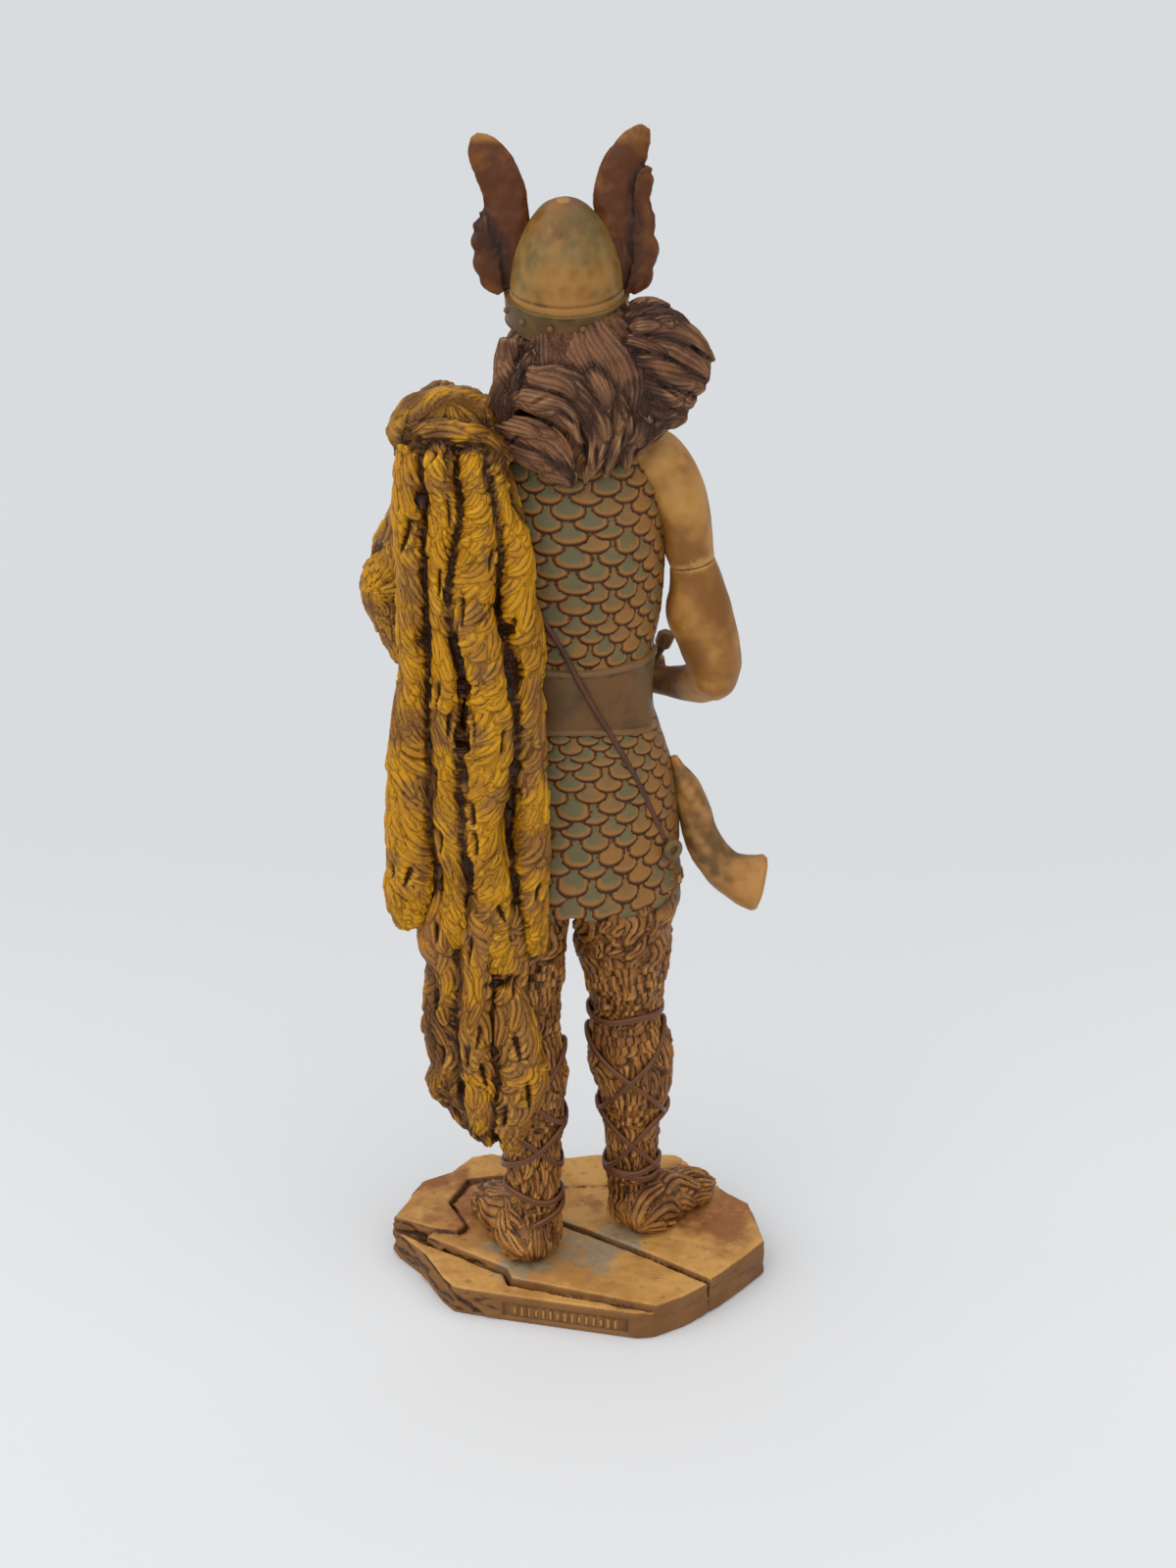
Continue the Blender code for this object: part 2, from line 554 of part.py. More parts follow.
ELBOW_DRAPE = [         # the cloak hangs over the left elbow in a point
    (34.5, 1, 216, 5.4, 8.0),
    (39.2, -1, 203, 6.0, 10.0),
    (42.0, -4, 191.5, 6.2, 10.5),
    (46.0, -6, 182, 8.6, 10.0),
    (45.2, -4.6, 175, 5.9, 8.4),
    (43.6, -1, 169, 4.4, 6.6),
    (42.2, 3, 165, 2.2, 3.4),
]
SHOULDER_ROLL = [       # gathered over the shoulder, seen from behind from the hair to the arm
    (17.5, 3, 225.6, 4.0, 3.4),
    (23.5, 3, 227.2, 8.4, 6.4),
    (30.5, 1, 228.0, 10.6, 6.9),
    (37.5, -1, 226.4, 10.6, 6.7),
    (43.0, -3, 221.2, 6.4, 4.6),
]
FRONT_ROLL = [          # over the shoulder and down to the left hand
    (33.0, -4, 227.0, 8.0, 6.0),
    (34.0, -12, 227.5, 6.4, 5.4),
    (33.6, -19, 224.0, 5.0, 4.4),
    (32.6, -24, 218.0, 4.4, 3.8),
    (31.0, -25, 206.0, 4.8, 3.4),
    (29.4, -23.4, 194.0, 4.4, 3.0),
    (28.4, -21.6, 184.0, 1.8, 1.6),
]


def cloak():
    backing = swept("backing", CLOAK_BACKING, 10, 7, CLOAK_FUR, square=0.8)
    folds = [swept("fold", rows, 7, 8, CLOAK_FUR) for rows in FOLDS]
    under = swept("lower backing", LOWER_BACKING, 10, 6, CLOAK_FUR, square=0.8)
    lower = [swept("lower fold", rows, 6, 7, CLOAK_FUR) for rows in LOWER_LAYER]
    drape = swept("elbow drape", ELBOW_DRAPE, 10, 9, CLOAK_FUR)
    roll = swept("shoulder roll", SHOULDER_ROLL, 10, 7, CLOAK_FUR, side=(0, 1, 0))
    front = swept("front roll", FRONT_ROLL, 8, 9, CLOAK_FUR)
    return [backing, *folds, under, *lower, drape, roll, front]


# Arms: the right one is cast apart from the seam on its biceps down

RIGHT_SHOULDER = [
    (-14.0, -4.0, 219.5, 5.0, 8.0),
    (-19.8, -4.0, 215.2, 7.2, 8.8),
    (-24.2, -4.0, 208.0, 7.2, 8.4),
    (-26.8, -4.0, 200.0, 6.5, 7.6),
    (-27.8, -4.0, 193.5, 6.2, 7.0),
    (-28.8, -4.0, 189.2, 5.7, 6.5),
]
RIGHT_ARM = [
    (-30.2, -4.0, 182.4, 6.8, 7.2),
    (-31.2, -4.2, 175.5, 8.0, 7.9),
    (-33.3, -4.8, 168.5, 7.7, 7.5),
    (-35.0, -5.4, 161.0, 6.8, 6.8),
    (-34.8, -5.6, 155.5, 5.4, 5.6),
    (-34.4, -5.6, 152.2, 2.0, 2.2),
]
FOREARM = [
    (-36.4, -3.2, 157.6, 3.0, 3.4),
    (-34.6, -8.0, 156.8, 5.8, 5.8),
    (-31.0, -13.5, 153.6, 5.3, 5.2),
    (-26.8, -18.0, 152.0, 4.4, 4.6),
    (-22.6, -21.2, 151.4, 3.8, 4.2),
    (-18.5, -23.4, 151.4, 3.7, 4.1),
]
RIGHT_FIST = [
    (-20.0, -23.4, 156.0, 2.6, 3.0),
    (-17.6, -24.4, 154.0, 4.6, 5.0),
    (-15.6, -25.0, 150.6, 5.0, 5.4),
    (-14.4, -25.2, 147.4, 2.8, 3.2),
]
GRIP = [                # a short hilt in the fist, its rounded pommel behind
    (-23.3, -20.6, 165.0, 1.3, 1.3),
    (-23.0, -20.8, 163.8, 2.3, 2.3),
    (-22.2, -21.2, 161.6, 2.2, 2.2),
    (-21.6, -21.6, 160.4, 1.4, 1.4),
    (-16.2, -24.8, 151.0, 1.5, 1.5),
    (-12.0, -27.2, 143.6, 1.5, 1.5),
]
LEFT_ARM = [
    (20.0, -5.0, 219.0, 6.0, 8.0),
    (27.6, -6.0, 214.6, 8.0, 8.8),
    (34.0, -8.6, 206.0, 7.6, 8.0),
    (40.0, -11.6, 196.0, 6.8, 7.2),
    (45.2, -14.4, 187.0, 6.4, 6.8),
    (47.4, -15.6, 182.4, 3.2, 3.4),
]
LEFT_FOREARM = [
    (48.2, -13.6, 182.4, 3.6, 3.8),
    (47.2, -17.4, 187.4, 5.8, 5.8),
    (44.2, -20.6, 196.0, 5.6, 5.4),
    (40.2, -23.0, 206.0, 4.6, 4.6),
    (36.6, -24.6, 214.6, 3.7, 4.1),
]
LEFT_FIST = [
    (38.6, -24.4, 214.0, 2.8, 3.0),
    (35.6, -25.4, 218.0, 4.8, 4.8),
    (32.6, -26.0, 221.6, 4.8, 4.6),
    (30.4, -25.6, 223.6, 2.6, 2.8),
]


def next_row(rows, gap):
    """The row that faces the last one across a gap, on the same line."""
    last = np.array(rows[-1], float)
    onward = unit(last[:3] - np.array(rows[-2][:3]))
    last[:3] += onward * gap
    return tuple(last)


def warrior_arms():
    shoulder = swept("right shoulder", RIGHT_SHOULDER, 10, 7, SKIN)
    upper = swept("left arm", LEFT_ARM, 8, 7, SKIN)
    forearm = swept("left forearm", LEFT_FOREARM, 8, 6, SKIN)
    fist = swept("left fist", LEFT_FIST, 8, 6, SKIN)
    return [shoulder, upper, forearm, fist]


def right_arm():
    rows = [next_row(RIGHT_SHOULDER, SEAM / PART), *RIGHT_ARM]
    upper = swept("arm", rows, 10, 8, SKIN)
    forearm = swept("forearm", FOREARM, 8, 7, SKIN, side=(0, 0, 1))
    fist = swept("fist", RIGHT_FIST, 8, 6, SKIN)
    grip = swept("grip", GRIP, 6, 9, BRONZE)
    return solid("right_arm", combined(upper, [forearm, fist, grip], "UNION"))


# Legs: fur trousers bound with straps, and fur boots

RIGHT_LEG = [
    (-11.5, -4.0, 108, 12.0, 12.8),
    (-11.8, -4.0, 98, 12.8, 13.2),
    (-12.2, -4.2, 85, 12.8, 12.8),
    (-12.9, -4.8, 74, 10.8, 11.0),
    (-12.7, -5.2, 64, 9.1, 9.6),
    (-14.3, -4.8, 51, 11.4, 11.4),
    (-15.3, -4.4, 41, 9.9, 10.2),
    (-14.7, -4.4, 32, 8.0, 8.5),
    (-14.7, -4.5, 23, 7.2, 7.7),
    (-14.8, -4.6, 14, 6.5, 7.2),
    (-15.2, -4.8, 2, 6.6, 7.2),
]
LEFT_LEG = [
    (13.0, -2.5, 108, 12.0, 12.8),
    (14.0, -1.5, 98, 12.6, 13.2),
    (15.4, 0.0, 85, 12.4, 12.8),
    (14.9, 2.0, 74, 10.6, 11.0),
    (13.8, 3.2, 63, 9.1, 9.6),
    (13.7, 5.0, 50, 11.2, 11.4),
    (13.2, 6.4, 40, 9.6, 10.2),
    (12.4, 7.6, 31, 7.9, 8.5),
    (12.0, 8.3, 21, 6.9, 7.7),
    (11.4, 8.8, 12, 6.8, 7.4),
    (11.2, 9.0, 1, 6.8, 7.4),
]
FOOT = [                # along the boot: share of its length, half width, height
    (0.00, 2.6, 5.4),
    (0.06, 5.8, 9.6),
    (0.17, 7.6, 13.4),
    (0.34, 7.8, 14.4),
    (0.56, 7.8, 11.4),
    (0.78, 8.0, 8.8),
    (0.93, 6.2, 6.6),
    (1.00, 2.8, 4.0),
]
SOLE_SINK = 0.62        # a boot's middle line, as a share of its half height
BINDINGS = {            # straps around each leg: height, tilt of the loop and its lean, in parts
    "right": [(63.6, 0.0), (50.0, 9.0), (50.0, -9.0), (32.0, 9.0), (32.0, -9.0)],
    "left": [(50.0, 9.0), (50.0, -9.0), (32.0, 9.0), (32.0, -9.0), (17.0, -1.5)],
}
STRAP_PROUD = 0.75      # how far a leg strap stands off the fur
STRAP_WIRE = 1.15       # radius of its three-sided section


def boot(name, heel, toe, sole):
    """A boot from heel to toe on the ground line, its sole flat on its stone."""
    heel, toe = np.array(heel, float), np.array(toe, float)
    rows = []
    for share, half_width, height in FOOT:
        x, y = heel + (toe - heel) * share
        half_height = height / (1 + SOLE_SINK)
        rows.append((x, y, sole + half_height * SOLE_SINK, half_width, half_height))
    ahead = unit(toe - heel)
    return swept(name, rows, 10, 8, LEG_FUR, side=(ahead[1], -ahead[0], 0), floor=sole)


def leg_strap(name, leg, height, tilt):
    """A flat loop around the leg, higher on one side than on the other."""
    heights = np.array([row[2] for row in leg], float)
    form = bmesh.new()
    rim = bmesh.ops.create_circle(form, segments=3, radius=STRAP_WIRE, cap_ends=False)["verts"]
    for vertex in rim:
        vertex.co = (1 + vertex.co.x, 0, vertex.co.y)
    bmesh.ops.spin(form, geom=form.verts[:] + form.edges[:], cent=(0, 0, 0), axis=(0, 0, 1),
                   angle=2 * math.pi, steps=8, use_merge=True)
    bmesh.ops.remove_doubles(form, verts=form.verts, dist=1e-6)
    for vertex in form.verts:
        out = math.hypot(vertex.co.x, vertex.co.y)
        angle = math.atan2(vertex.co.y, vertex.co.x)
        lift = vertex.co.z
        level = height + tilt * math.cos(angle)
        spot = np.interp(-level, -heights, np.linspace(0, 1, len(leg)))
        x, y, _, half_width, half_depth = along_rows(leg, [spot])[0]
        proud = (out - 1) + STRAP_PROUD - STRAP_WIRE
        vertex.co = (x + math.cos(angle) * (half_width + proud),
                     y + math.sin(angle) * (half_depth + proud), level + lift)
    bmesh.ops.recalc_face_normals(form, faces=form.faces)
    bmesh.ops.scale(form, verts=form.verts, vec=(PART, PART, PART))
    bmesh.ops.translate(form, verts=form.verts, vec=(0, 0, SOLE_RISE))
    mesh = bpy.data.meshes.new(name)
    form.to_mesh(mesh)
    form.free()
    return placed(name, mesh, LEATHER)


def legs():
    right = swept("right leg", RIGHT_LEG, 10, 11, LEG_FUR)
    left = swept("left leg", LEFT_LEG, 10, 11, LEG_FUR)
    right_boot = boot("right boot", (-15.0, 5.4), (-34.6, -20.8), 0.0)
    left_boot = boot("left boot", (11.4, 19.4), (25.0, -16.0), -LEFT_DROP)
    straps = []
    for side, leg in (("right", RIGHT_LEG), ("left", LEFT_LEG)):
        for height, tilt in BINDINGS[side]:
            straps.append(leg_strap(side + " strap", leg, height, tilt))
    return [right, left, right_boot, left_boot, *straps]


# Horn

HORN_LINE = [
    (-24.8, -2.6, 137.4, 0.9, 0.9),
    (-26.0, -2.8, 134.0, 2.0, 2.0),
    (-28.3, -3.0, 129.0, 3.5, 3.5),
    (-30.2, -3.2, 122.5, 4.2, 4.2),
    (-32.2, -3.4, 115.2, 4.5, 4.5),
    (-35.4, -3.6, 108.8, 4.9, 4.9),
    (-39.6, -3.8, 104.4, 5.7, 5.7),
    (-44.2, -3.9, 102.2, 7.0, 7.0),
    (-46.8, -3.9, 101.4, 7.6, 7.6),
    (-48.0, -3.9, 101.1, 7.0, 7.0),
]
HORN_MOUTH = (3.2, 0.78)    # how deep the bell end is sunk, and how wide


def horn():
    form = swept("horn form", HORN_LINE, 10, 11, HORN, side=(0, 1, 0), mouth=HORN_MOUTH)
    mesh = form.data
    bpy.data.objects.remove(form, do_unlink=True)
    return solid("horn", mesh)


# Base: flagstones with cracks between them, and a sunk panel on the rear edge

OUTLINE = [             # shares of the half width and half depth, anticlockwise from the left end
    (1.000, -0.089), (0.975, -0.010), (0.821, 0.251), (0.714, 0.557), (0.648, 0.676),
    (0.438, 0.757), (-0.305, 1.000), (-0.405, 0.977), (-0.558, 0.851), (-0.675, 0.686),
    (-0.745, 0.615), (-0.881, 0.400), (-1.000, 0.190), (-0.934, -0.324), (-0.833, -0.458),
    (-0.679, -0.732), (-0.603, -0.914), (-0.549, -0.972), (-0.165, -0.985), (0.165, -0.914),
    (0.496, -0.972), (0.605, -0.942), (0.706, -0.732), (0.864, -0.595),
]
REAR_CRACK = [(0.945, -0.045), (0.820, 0.100), (0.379, 0.506), (0.352, 0.628), (-0.405, 0.977)]
SIDE_CRACK = [(0.156, -0.127), (-0.158, 0.157), (-0.514, 0.506), (-0.690, 0.690)]
FAR_OVERLAP = 0.0012    # how far the far stone lies over the line it shares with its neighbours
FAR_STEP = [(1.000, -0.120), (0.782, 0.030), (0.640, 0.071), (0.590, -0.020), (0.690, -0.330),
            (0.600, -0.640), (0.400, -0.680), (0.160, -0.540), (-0.160, -0.565), (-0.400, -0.660),
            (-0.603, -0.914)]


def base_point(share):
    return (share[0] * BASE_HALF_WIDTH, share[1] * BASE_HALF_DEPTH)


def prism(name, corners, bottom, top, inset=0.0, bevel=0.0):
    """An upright block on a closed outline. Its walls stand in by inset, its top edge is cut off."""
    corners = np.array(corners, float)
    area = sum(a[0] * b[1] - b[0] * a[1] for a, b in zip(corners, np.roll(corners, -1, 0)))
    if area < 0:
        corners = corners[::-1]

    def shrunk(distance):
        before = unit(corners - np.roll(corners, 1, 0))
        after = unit(np.roll(corners, -1, 0) - corners)
        inward = lambda way: np.stack([-way[:, 1], way[:, 0]], 1)
        middle = unit(inward(before) + inward(after))
        reach = distance / np.maximum((middle * inward(before)).sum(1), 0.5)
        return corners + middle * reach[:, None]

    form = bmesh.new()
    levels = [(bottom, inset), (top - bevel, inset)]
    if bevel:
        levels.append((top, inset + bevel))
    rings = [[form.verts.new((x, y, z)) for x, y in shrunk(reach)] for z, reach in levels]
    form.faces.new(rings[0][::-1])
    form.faces.new(rings[-1])
    for low, high in zip(rings, rings[1:]):
        for index in range(len(corners)):
            after = (index + 1) % len(corners)
            form.faces.new((low[index], low[after], high[after], high[index]))
    bmesh.ops.triangulate(form, faces=form.faces)
    bmesh.ops.recalc_face_normals(form, faces=form.faces)
    mesh = bpy.data.meshes.new(name)
    form.to_mesh(mesh)
    form.free()
    return placed(name, mesh, STONE)


def block(name, middle, size, turn):
    """A box with its middle at a place, turned about the vertical."""
    form = bmesh.new()
    bmesh.ops.create_cube(form, size=1)
    bmesh.ops.scale(form, verts=form.verts, vec=size)
    cosine, sine = math.cos(turn), math.sin(turn)
    for vertex in form.verts:
        x, y, z = vertex.co
        vertex.co = (middle[0] + x * cosine - y * sine, middle[1] + x * sine + y * cosine,
                     middle[2] + z)
    mesh = bpy.data.meshes.new(name)
    form.to_mesh(mesh)
    form.free()
    return placed(name, mesh, STONE)


def panel_pieces():
    """What is cut for the sunk panel, and the worn strokes left standing in it."""
    start, end = np.array(base_point(OUTLINE[5])), np.array(base_point(OUTLINE[6]))
    way = unit(end - start)
    out = np.array([-way[1], way[0]]) * -1
    turn = math.atan2(way[1], way[0])
    middle = (start + end) / 2
    height = PLAQUE_RISE + PLAQUE_HEIGHT / 2
    cutter = block("panel", (*(middle + out * CUTTER_OVERHANG), height),
                   (PLAQUE_LENGTH, 2 * (CUTTER_OVERHANG + PLAQUE_DEPTH), PLAQUE_HEIGHT), turn)
    strokes = []
    for count in range(STROKE_COUNT):
        along = (count + 0.5) / STROKE_COUNT - 0.5
        spot = middle + way * along * PLAQUE_LENGTH * STROKE_SPREAD - out * PLAQUE_DEPTH
        tall = PLAQUE_HEIGHT * (STROKE_TALL if count % 3 else STROKE_SHORT)
        strokes.append(block("stroke", (*spot, height),
                             (STROKE_WIDTH, PLAQUE_DEPTH * STROKE_PROUD, tall), turn))
    return cutter, strokes


def base():
    crack = CRACK_WIDTH / 2
    outline = [base_point(share) for share in OUTLINE]
    rear = [base_point(share) for share in REAR_CRACK]
    side = [base_point(share) for share in SIDE_CRACK]
    step = [base_point(share) for share in FAR_STEP]
    core_top = LEDGE_HEIGHT - CRACK_DEPTH
    core = prism("core", outline, 0, core_top, crack + CORE_INSET)
    foot = CORE_INSET
    ledge = prism("rear stone", outline[1:7] + rear[::-1], foot, LEDGE_HEIGHT, crack, STONE_BEVEL)
    middle = prism("middle stone", rear[1:] + outline[8:9] + side[::-1] + step[7:0:-1],
                   foot, LEFT_STONE_TOP, crack, STONE_BEVEL)
    right = prism("right stone", side + outline[10:17] + step[-2:-5:-1],
                  foot, RIGHT_STONE_TOP, crack, STONE_BEVEL)
    lap = [(x, y + FAR_OVERLAP) for x, y in step]
    far = prism("far stone", lap + outline[17:], foot, FAR_STONE_TOP, crack, STONE_BEVEL)
    cutter, strokes = panel_pieces()
    whole = combined(core, [ledge, middle, right, far], "UNION")
    whole = placed("whole", whole, STONE)
    cut = placed("cut", combined(whole, [cutter], "DIFFERENCE"), STONE)
    return solid("base", combined(cut, strokes, "UNION"))


def main():
    clear_scene()
    forms = armour() + head() + helmet() + hair() + cloak() + warrior_arms() + legs()
    solid("warrior", combined(forms[0], forms[1:], "UNION"))
    right_arm()
    horn()
    base()


main()
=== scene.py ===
import math

import bmesh
import bpy
import numpy as np
from mathutils import Matrix, Vector, noise


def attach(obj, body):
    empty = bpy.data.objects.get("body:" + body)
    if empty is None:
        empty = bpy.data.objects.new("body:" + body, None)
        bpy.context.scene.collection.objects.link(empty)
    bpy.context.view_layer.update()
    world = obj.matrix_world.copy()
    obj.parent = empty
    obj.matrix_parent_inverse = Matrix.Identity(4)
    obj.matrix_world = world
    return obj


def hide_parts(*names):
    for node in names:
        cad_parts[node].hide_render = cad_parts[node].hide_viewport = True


# A moulded and painted warrior figurine, seen from behind. The tables are in millimetres above the
# soles, as the solids' are; the figure faces -Y and its left hand is at +X.

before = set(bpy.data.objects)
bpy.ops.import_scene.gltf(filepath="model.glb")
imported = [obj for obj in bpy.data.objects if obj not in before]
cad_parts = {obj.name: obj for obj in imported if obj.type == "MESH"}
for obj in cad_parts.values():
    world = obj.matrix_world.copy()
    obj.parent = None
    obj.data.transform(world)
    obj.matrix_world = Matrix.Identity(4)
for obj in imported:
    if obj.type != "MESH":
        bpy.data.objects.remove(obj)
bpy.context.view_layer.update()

PART = 0.001            # one unit of the tables in metres
SOLE_RISE = 0.0110      # height of the right sole above the table
LEFT_DROP = 0.9         # how much lower the left sole is, in parts
CELL = 0.2              # one cell of a coat of tufts
AXIS_STEPS = 56         # samples along a form's middle line
BLOCK = 20000           # vertices measured together, to spare memory
STRAY_HOLE = (2.6, 0.7, 1.6)     # length, width and depth of a hole that chance places
STRAY_SEED = 507
TRAITS = {"hollow": 0.0, "crown": 0.5, "tint": 0.5, "strand": 0.5}   # read by the paints; plain values
TRIANGLES = {           # the most that a piece keeps, spent where its surface bends
    "cloak": 190000, "cloak_lower": 86000, "hair": 100000, "torso_scales": 84000, "skirt_scales": 70000,
    "left_leg": 70000, "right_leg": 76000, "flagstones": 80000, "head": 26000, "beard": 18000,
    "left_arm": 22000, "right_arm_skin": 20000, "right_shoulder": 6000, "left_wing": 15000,
    "right_wing": 15000, "belt": 9000, "drinking_horn": 9000, "helmet": 9000,
}


# Forms: every limb, fold and lock is a ball drawn out along a smooth path

def along_rows(rows, share):
    """The rows of a table read as one smooth curve that never overshoots them."""
    rows = np.asarray(rows, float)
    last = len(rows) - 1
    place = np.clip(np.asarray(share, float), 0, 1) * last
    first = np.minimum(place.astype(int), last - 1)
    t = (place - first)[:, None]
    step = np.diff(rows, axis=0)
    before, after = step[:-1], step[1:]
    same_way = before * after > 0
    total = np.where(same_way, before + after, 1)
    inner = np.where(same_way, 2 * before * after / total, 0)
    slope = np.concatenate([step[:1], inner, step[-1:]])
    a, b = rows[first], rows[first + 1]
    return ((2 * t**3 - 3 * t**2 + 1) * a + (t**3 - 2 * t**2 + t) * slope[first]
            + (3 * t**2 - 2 * t**3) * b + (t**3 - t**2) * slope[first + 1])


def unit(vectors):
    return vectors / np.maximum(np.linalg.norm(vectors, axis=-1, keepdims=True), 1e-12)


def signed_power(value, power):
    return np.sign(value) * np.abs(value) ** power


def smooth_step(value, low, high):
    t = np.clip((value - low) / (high - low), 0, 1)
    return t * t * (3 - 2 * t)


def middle_line(rows, share, side):
    """Middle, width way, depth way, travel and half sizes at shares along a form."""
    row = along_rows(rows, share)
    nudge = 1e-3
    travel = unit(along_rows(rows, share + nudge)[:, :3] - along_rows(rows, share - nudge)[:, :3])
    wide = np.broadcast_to(np.asarray(side, float), travel.shape)
    wide = unit(wide - (wide * travel).sum(1, keepdims=True) * travel)
    return row[:, :3], wide, np.cross(wide, travel), travel, row[:, 3], row[:, 4]


def mesh_of(form):
    """The mesh of a form that is finished; the form goes."""
    mesh = bpy.data.meshes.new("form")
    form.to_mesh(mesh)
    form.free()
    return mesh


def placed(name, data):
    """A new object in the scene."""
    thing = bpy.data.objects.new(name, data)
    bpy.context.scene.collection.objects.link(thing)
    return thing


def places(mesh):
    """Where each vertex is."""
    spots = np.empty(len(mesh.vertices) * 3, np.float32)
    mesh.vertices.foreach_get("co", spots)
    return spots.reshape(-1, 3).astype(float)


def move_to(mesh, spots):
    mesh.vertices.foreach_set("co", spots.astype(np.float32).ravel())
    mesh.update()


def facing(mesh):
    """The way each vertex faces."""
    ways = np.empty(len(mesh.vertices) * 3, np.float32)
    mesh.vertex_normals.foreach_get("vector", ways)
    return ways.reshape(-1, 3).astype(float)


def swept(rows, around, along, side=(1, 0, 0), square=1.0, floor=None, relief=None, bend=None,
          traits=None):
    """A closed form along rows of (x, y, z, half width, half depth), its ends rounded off flat."""
    form = bmesh.new()
    bmesh.ops.create_uvsphere(form, u_segments=around, v_segments=along, radius=1)
    mesh = mesh_of(form)
    ball = places(mesh)
    turn = np.arctan2(ball[:, 1], ball[:, 0])
    ring = np.rint(np.arccos(np.clip(ball[:, 2], -1, 1)) / math.pi * along)
    girth = np.where((ring == 0) | (ring == along), 0.0, 1.0)
    share = np.clip((ring - 1) / (along - 2), 0, 1)
    middle, wide, deep, travel, half_width, half_depth = middle_line(rows, share, side)
    across = signed_power(np.cos(turn), square) * girth * half_width
    upward = signed_power(np.sin(turn), square) * girth * half_depth
    spots = middle + wide * across[:, None] + deep * upward[:, None]
    if bend:
        spots += bend(turn, share)
    if relief:
        outward = unit(wide * (np.cos(turn) / half_width)[:, None]
                       + deep * (np.sin(turn) / half_depth)[:, None])
        spots += outward * (relief(turn, share) * girth)[:, None]
    if floor is not None:
        spots[:, 2] = np.maximum(spots[:, 2], floor)
    move_to(mesh, spots)
    for name, rule in (traits or {}).items():
        mark(mesh, name, rule(turn, share))
    return mesh


def joined(meshes):
    """One mesh of several."""
    form = bmesh.new()
    for mesh in meshes:
        form.from_mesh(mesh)
    whole = mesh_of(form)
    for mesh in meshes:
        bpy.data.meshes.remove(mesh)
    return whole


def settled(lump):
    """The mesh that an object's modifiers make; the object goes."""
    graph = bpy.context.evaluated_depsgraph_get()
    mesh = bpy.data.meshes.new_from_object(lump.evaluated_get(graph))
    old = lump.data
    bpy.data.objects.remove(lump, do_unlink=True)
    bpy.data.meshes.remove(old)
    return mesh


def melted(meshes, voxel, passes):
    """Forms that run into each other, made one skin with soft valleys between them."""
    lump = placed("lump", joined(meshes))
    grid = lump.modifiers.new("one skin", "REMESH")
    grid.mode = "VOXEL"
    grid.voxel_size = voxel
    if passes:
        soft = lump.modifiers.new("soften", "SMOOTH")
        soft.factor = 0.5
        soft.iterations = passes
    return settled(lump)


def thinned(mesh, most):
    """The mesh with no more than so many triangles."""
    mesh.calc_loop_triangles()
    share = most / len(mesh.loop_triangles)
    if share >= 1:
        return mesh
    lump = placed("lump", mesh)
    fewer = lump.modifiers.new("fewer", "DECIMATE")
    fewer.ratio = share
    return settled(lump)


def mark(mesh, name, values):
    """Gives each vertex a number that the paint reads."""
    trait = mesh.attributes.get(name) or mesh.attributes.new(name, "FLOAT", "POINT")
    trait.data.foreach_set("value", np.asarray(values, np.float32))


def evened(mesh, values, passes):
    """Values of the vertices, each taken towards its neighbours' mean."""
    pairs = np.empty(len(mesh.edges) * 2, np.int32)
    mesh.edges.foreach_get("vertices", pairs)
    a, b = pairs[::2], pairs[1::2]
    count = len(mesh.vertices)
    links = np.maximum(np.bincount(a, minlength=count) + np.bincount(b, minlength=count), 1)
    values = np.array(values, float)
    flat = values.reshape(count, -1)
    for _ in range(passes):
        for column in range(flat.shape[1]):
            own = flat[:, column]
            total = np.bincount(a, own[b], count) + np.bincount(b, own[a], count)
            flat[:, column] = 0.4 * own + 0.6 * total / links
    return flat.reshape(values.shape)


def hollows(mesh, passes, reach):
    """1 in grooves, -1 on edges: how far each vertex lies under its smoothed surroundings."""
    spots = places(mesh)
    depth = ((evened(mesh, spots, passes) - spots) * facing(mesh)).sum(1)
    return np.clip(evened(mesh, depth, 1) / reach, -1, 1)


def grooved(mesh, passes, reach):
    """Marks the grooves for the paint."""
    mark(mesh, "hollow", hollows(mesh, passes, reach))


def rough_noise(spots, size, octaves, shift=0.0):
    """Fractal noise at each spot, about -1 to 1."""
    out = np.empty(len(spots))
    for number, spot in enumerate(spots / size + shift):
        out[number] = noise.fractal(Vector(spot), 1.0, 2.0, octaves)
    return out


def roughened(mesh, size, amount, octaves=3):
    """The surface made uneven, its bumps about size across."""
    spots = places(mesh)
    rise = amount * rough_noise(spots, size, octaves)
    move_to(mesh, spots + facing(mesh) * rise[:, None])
    return mesh


# Coats: tufts of fur, strands of hair and barbs of feather, drawn over each other

def blurred(grid):
    """Each cell taken towards its neighbours; the grid closes on itself one way."""
    grid = (np.roll(grid, 1, 1) + 2 * grid + np.roll(grid, -1, 1)) / 4
    low = np.concatenate([grid[1:], grid[-1:]])
    high = np.concatenate([grid[:1], grid[:-1]])
    return (low + 2 * grid + high) / 4


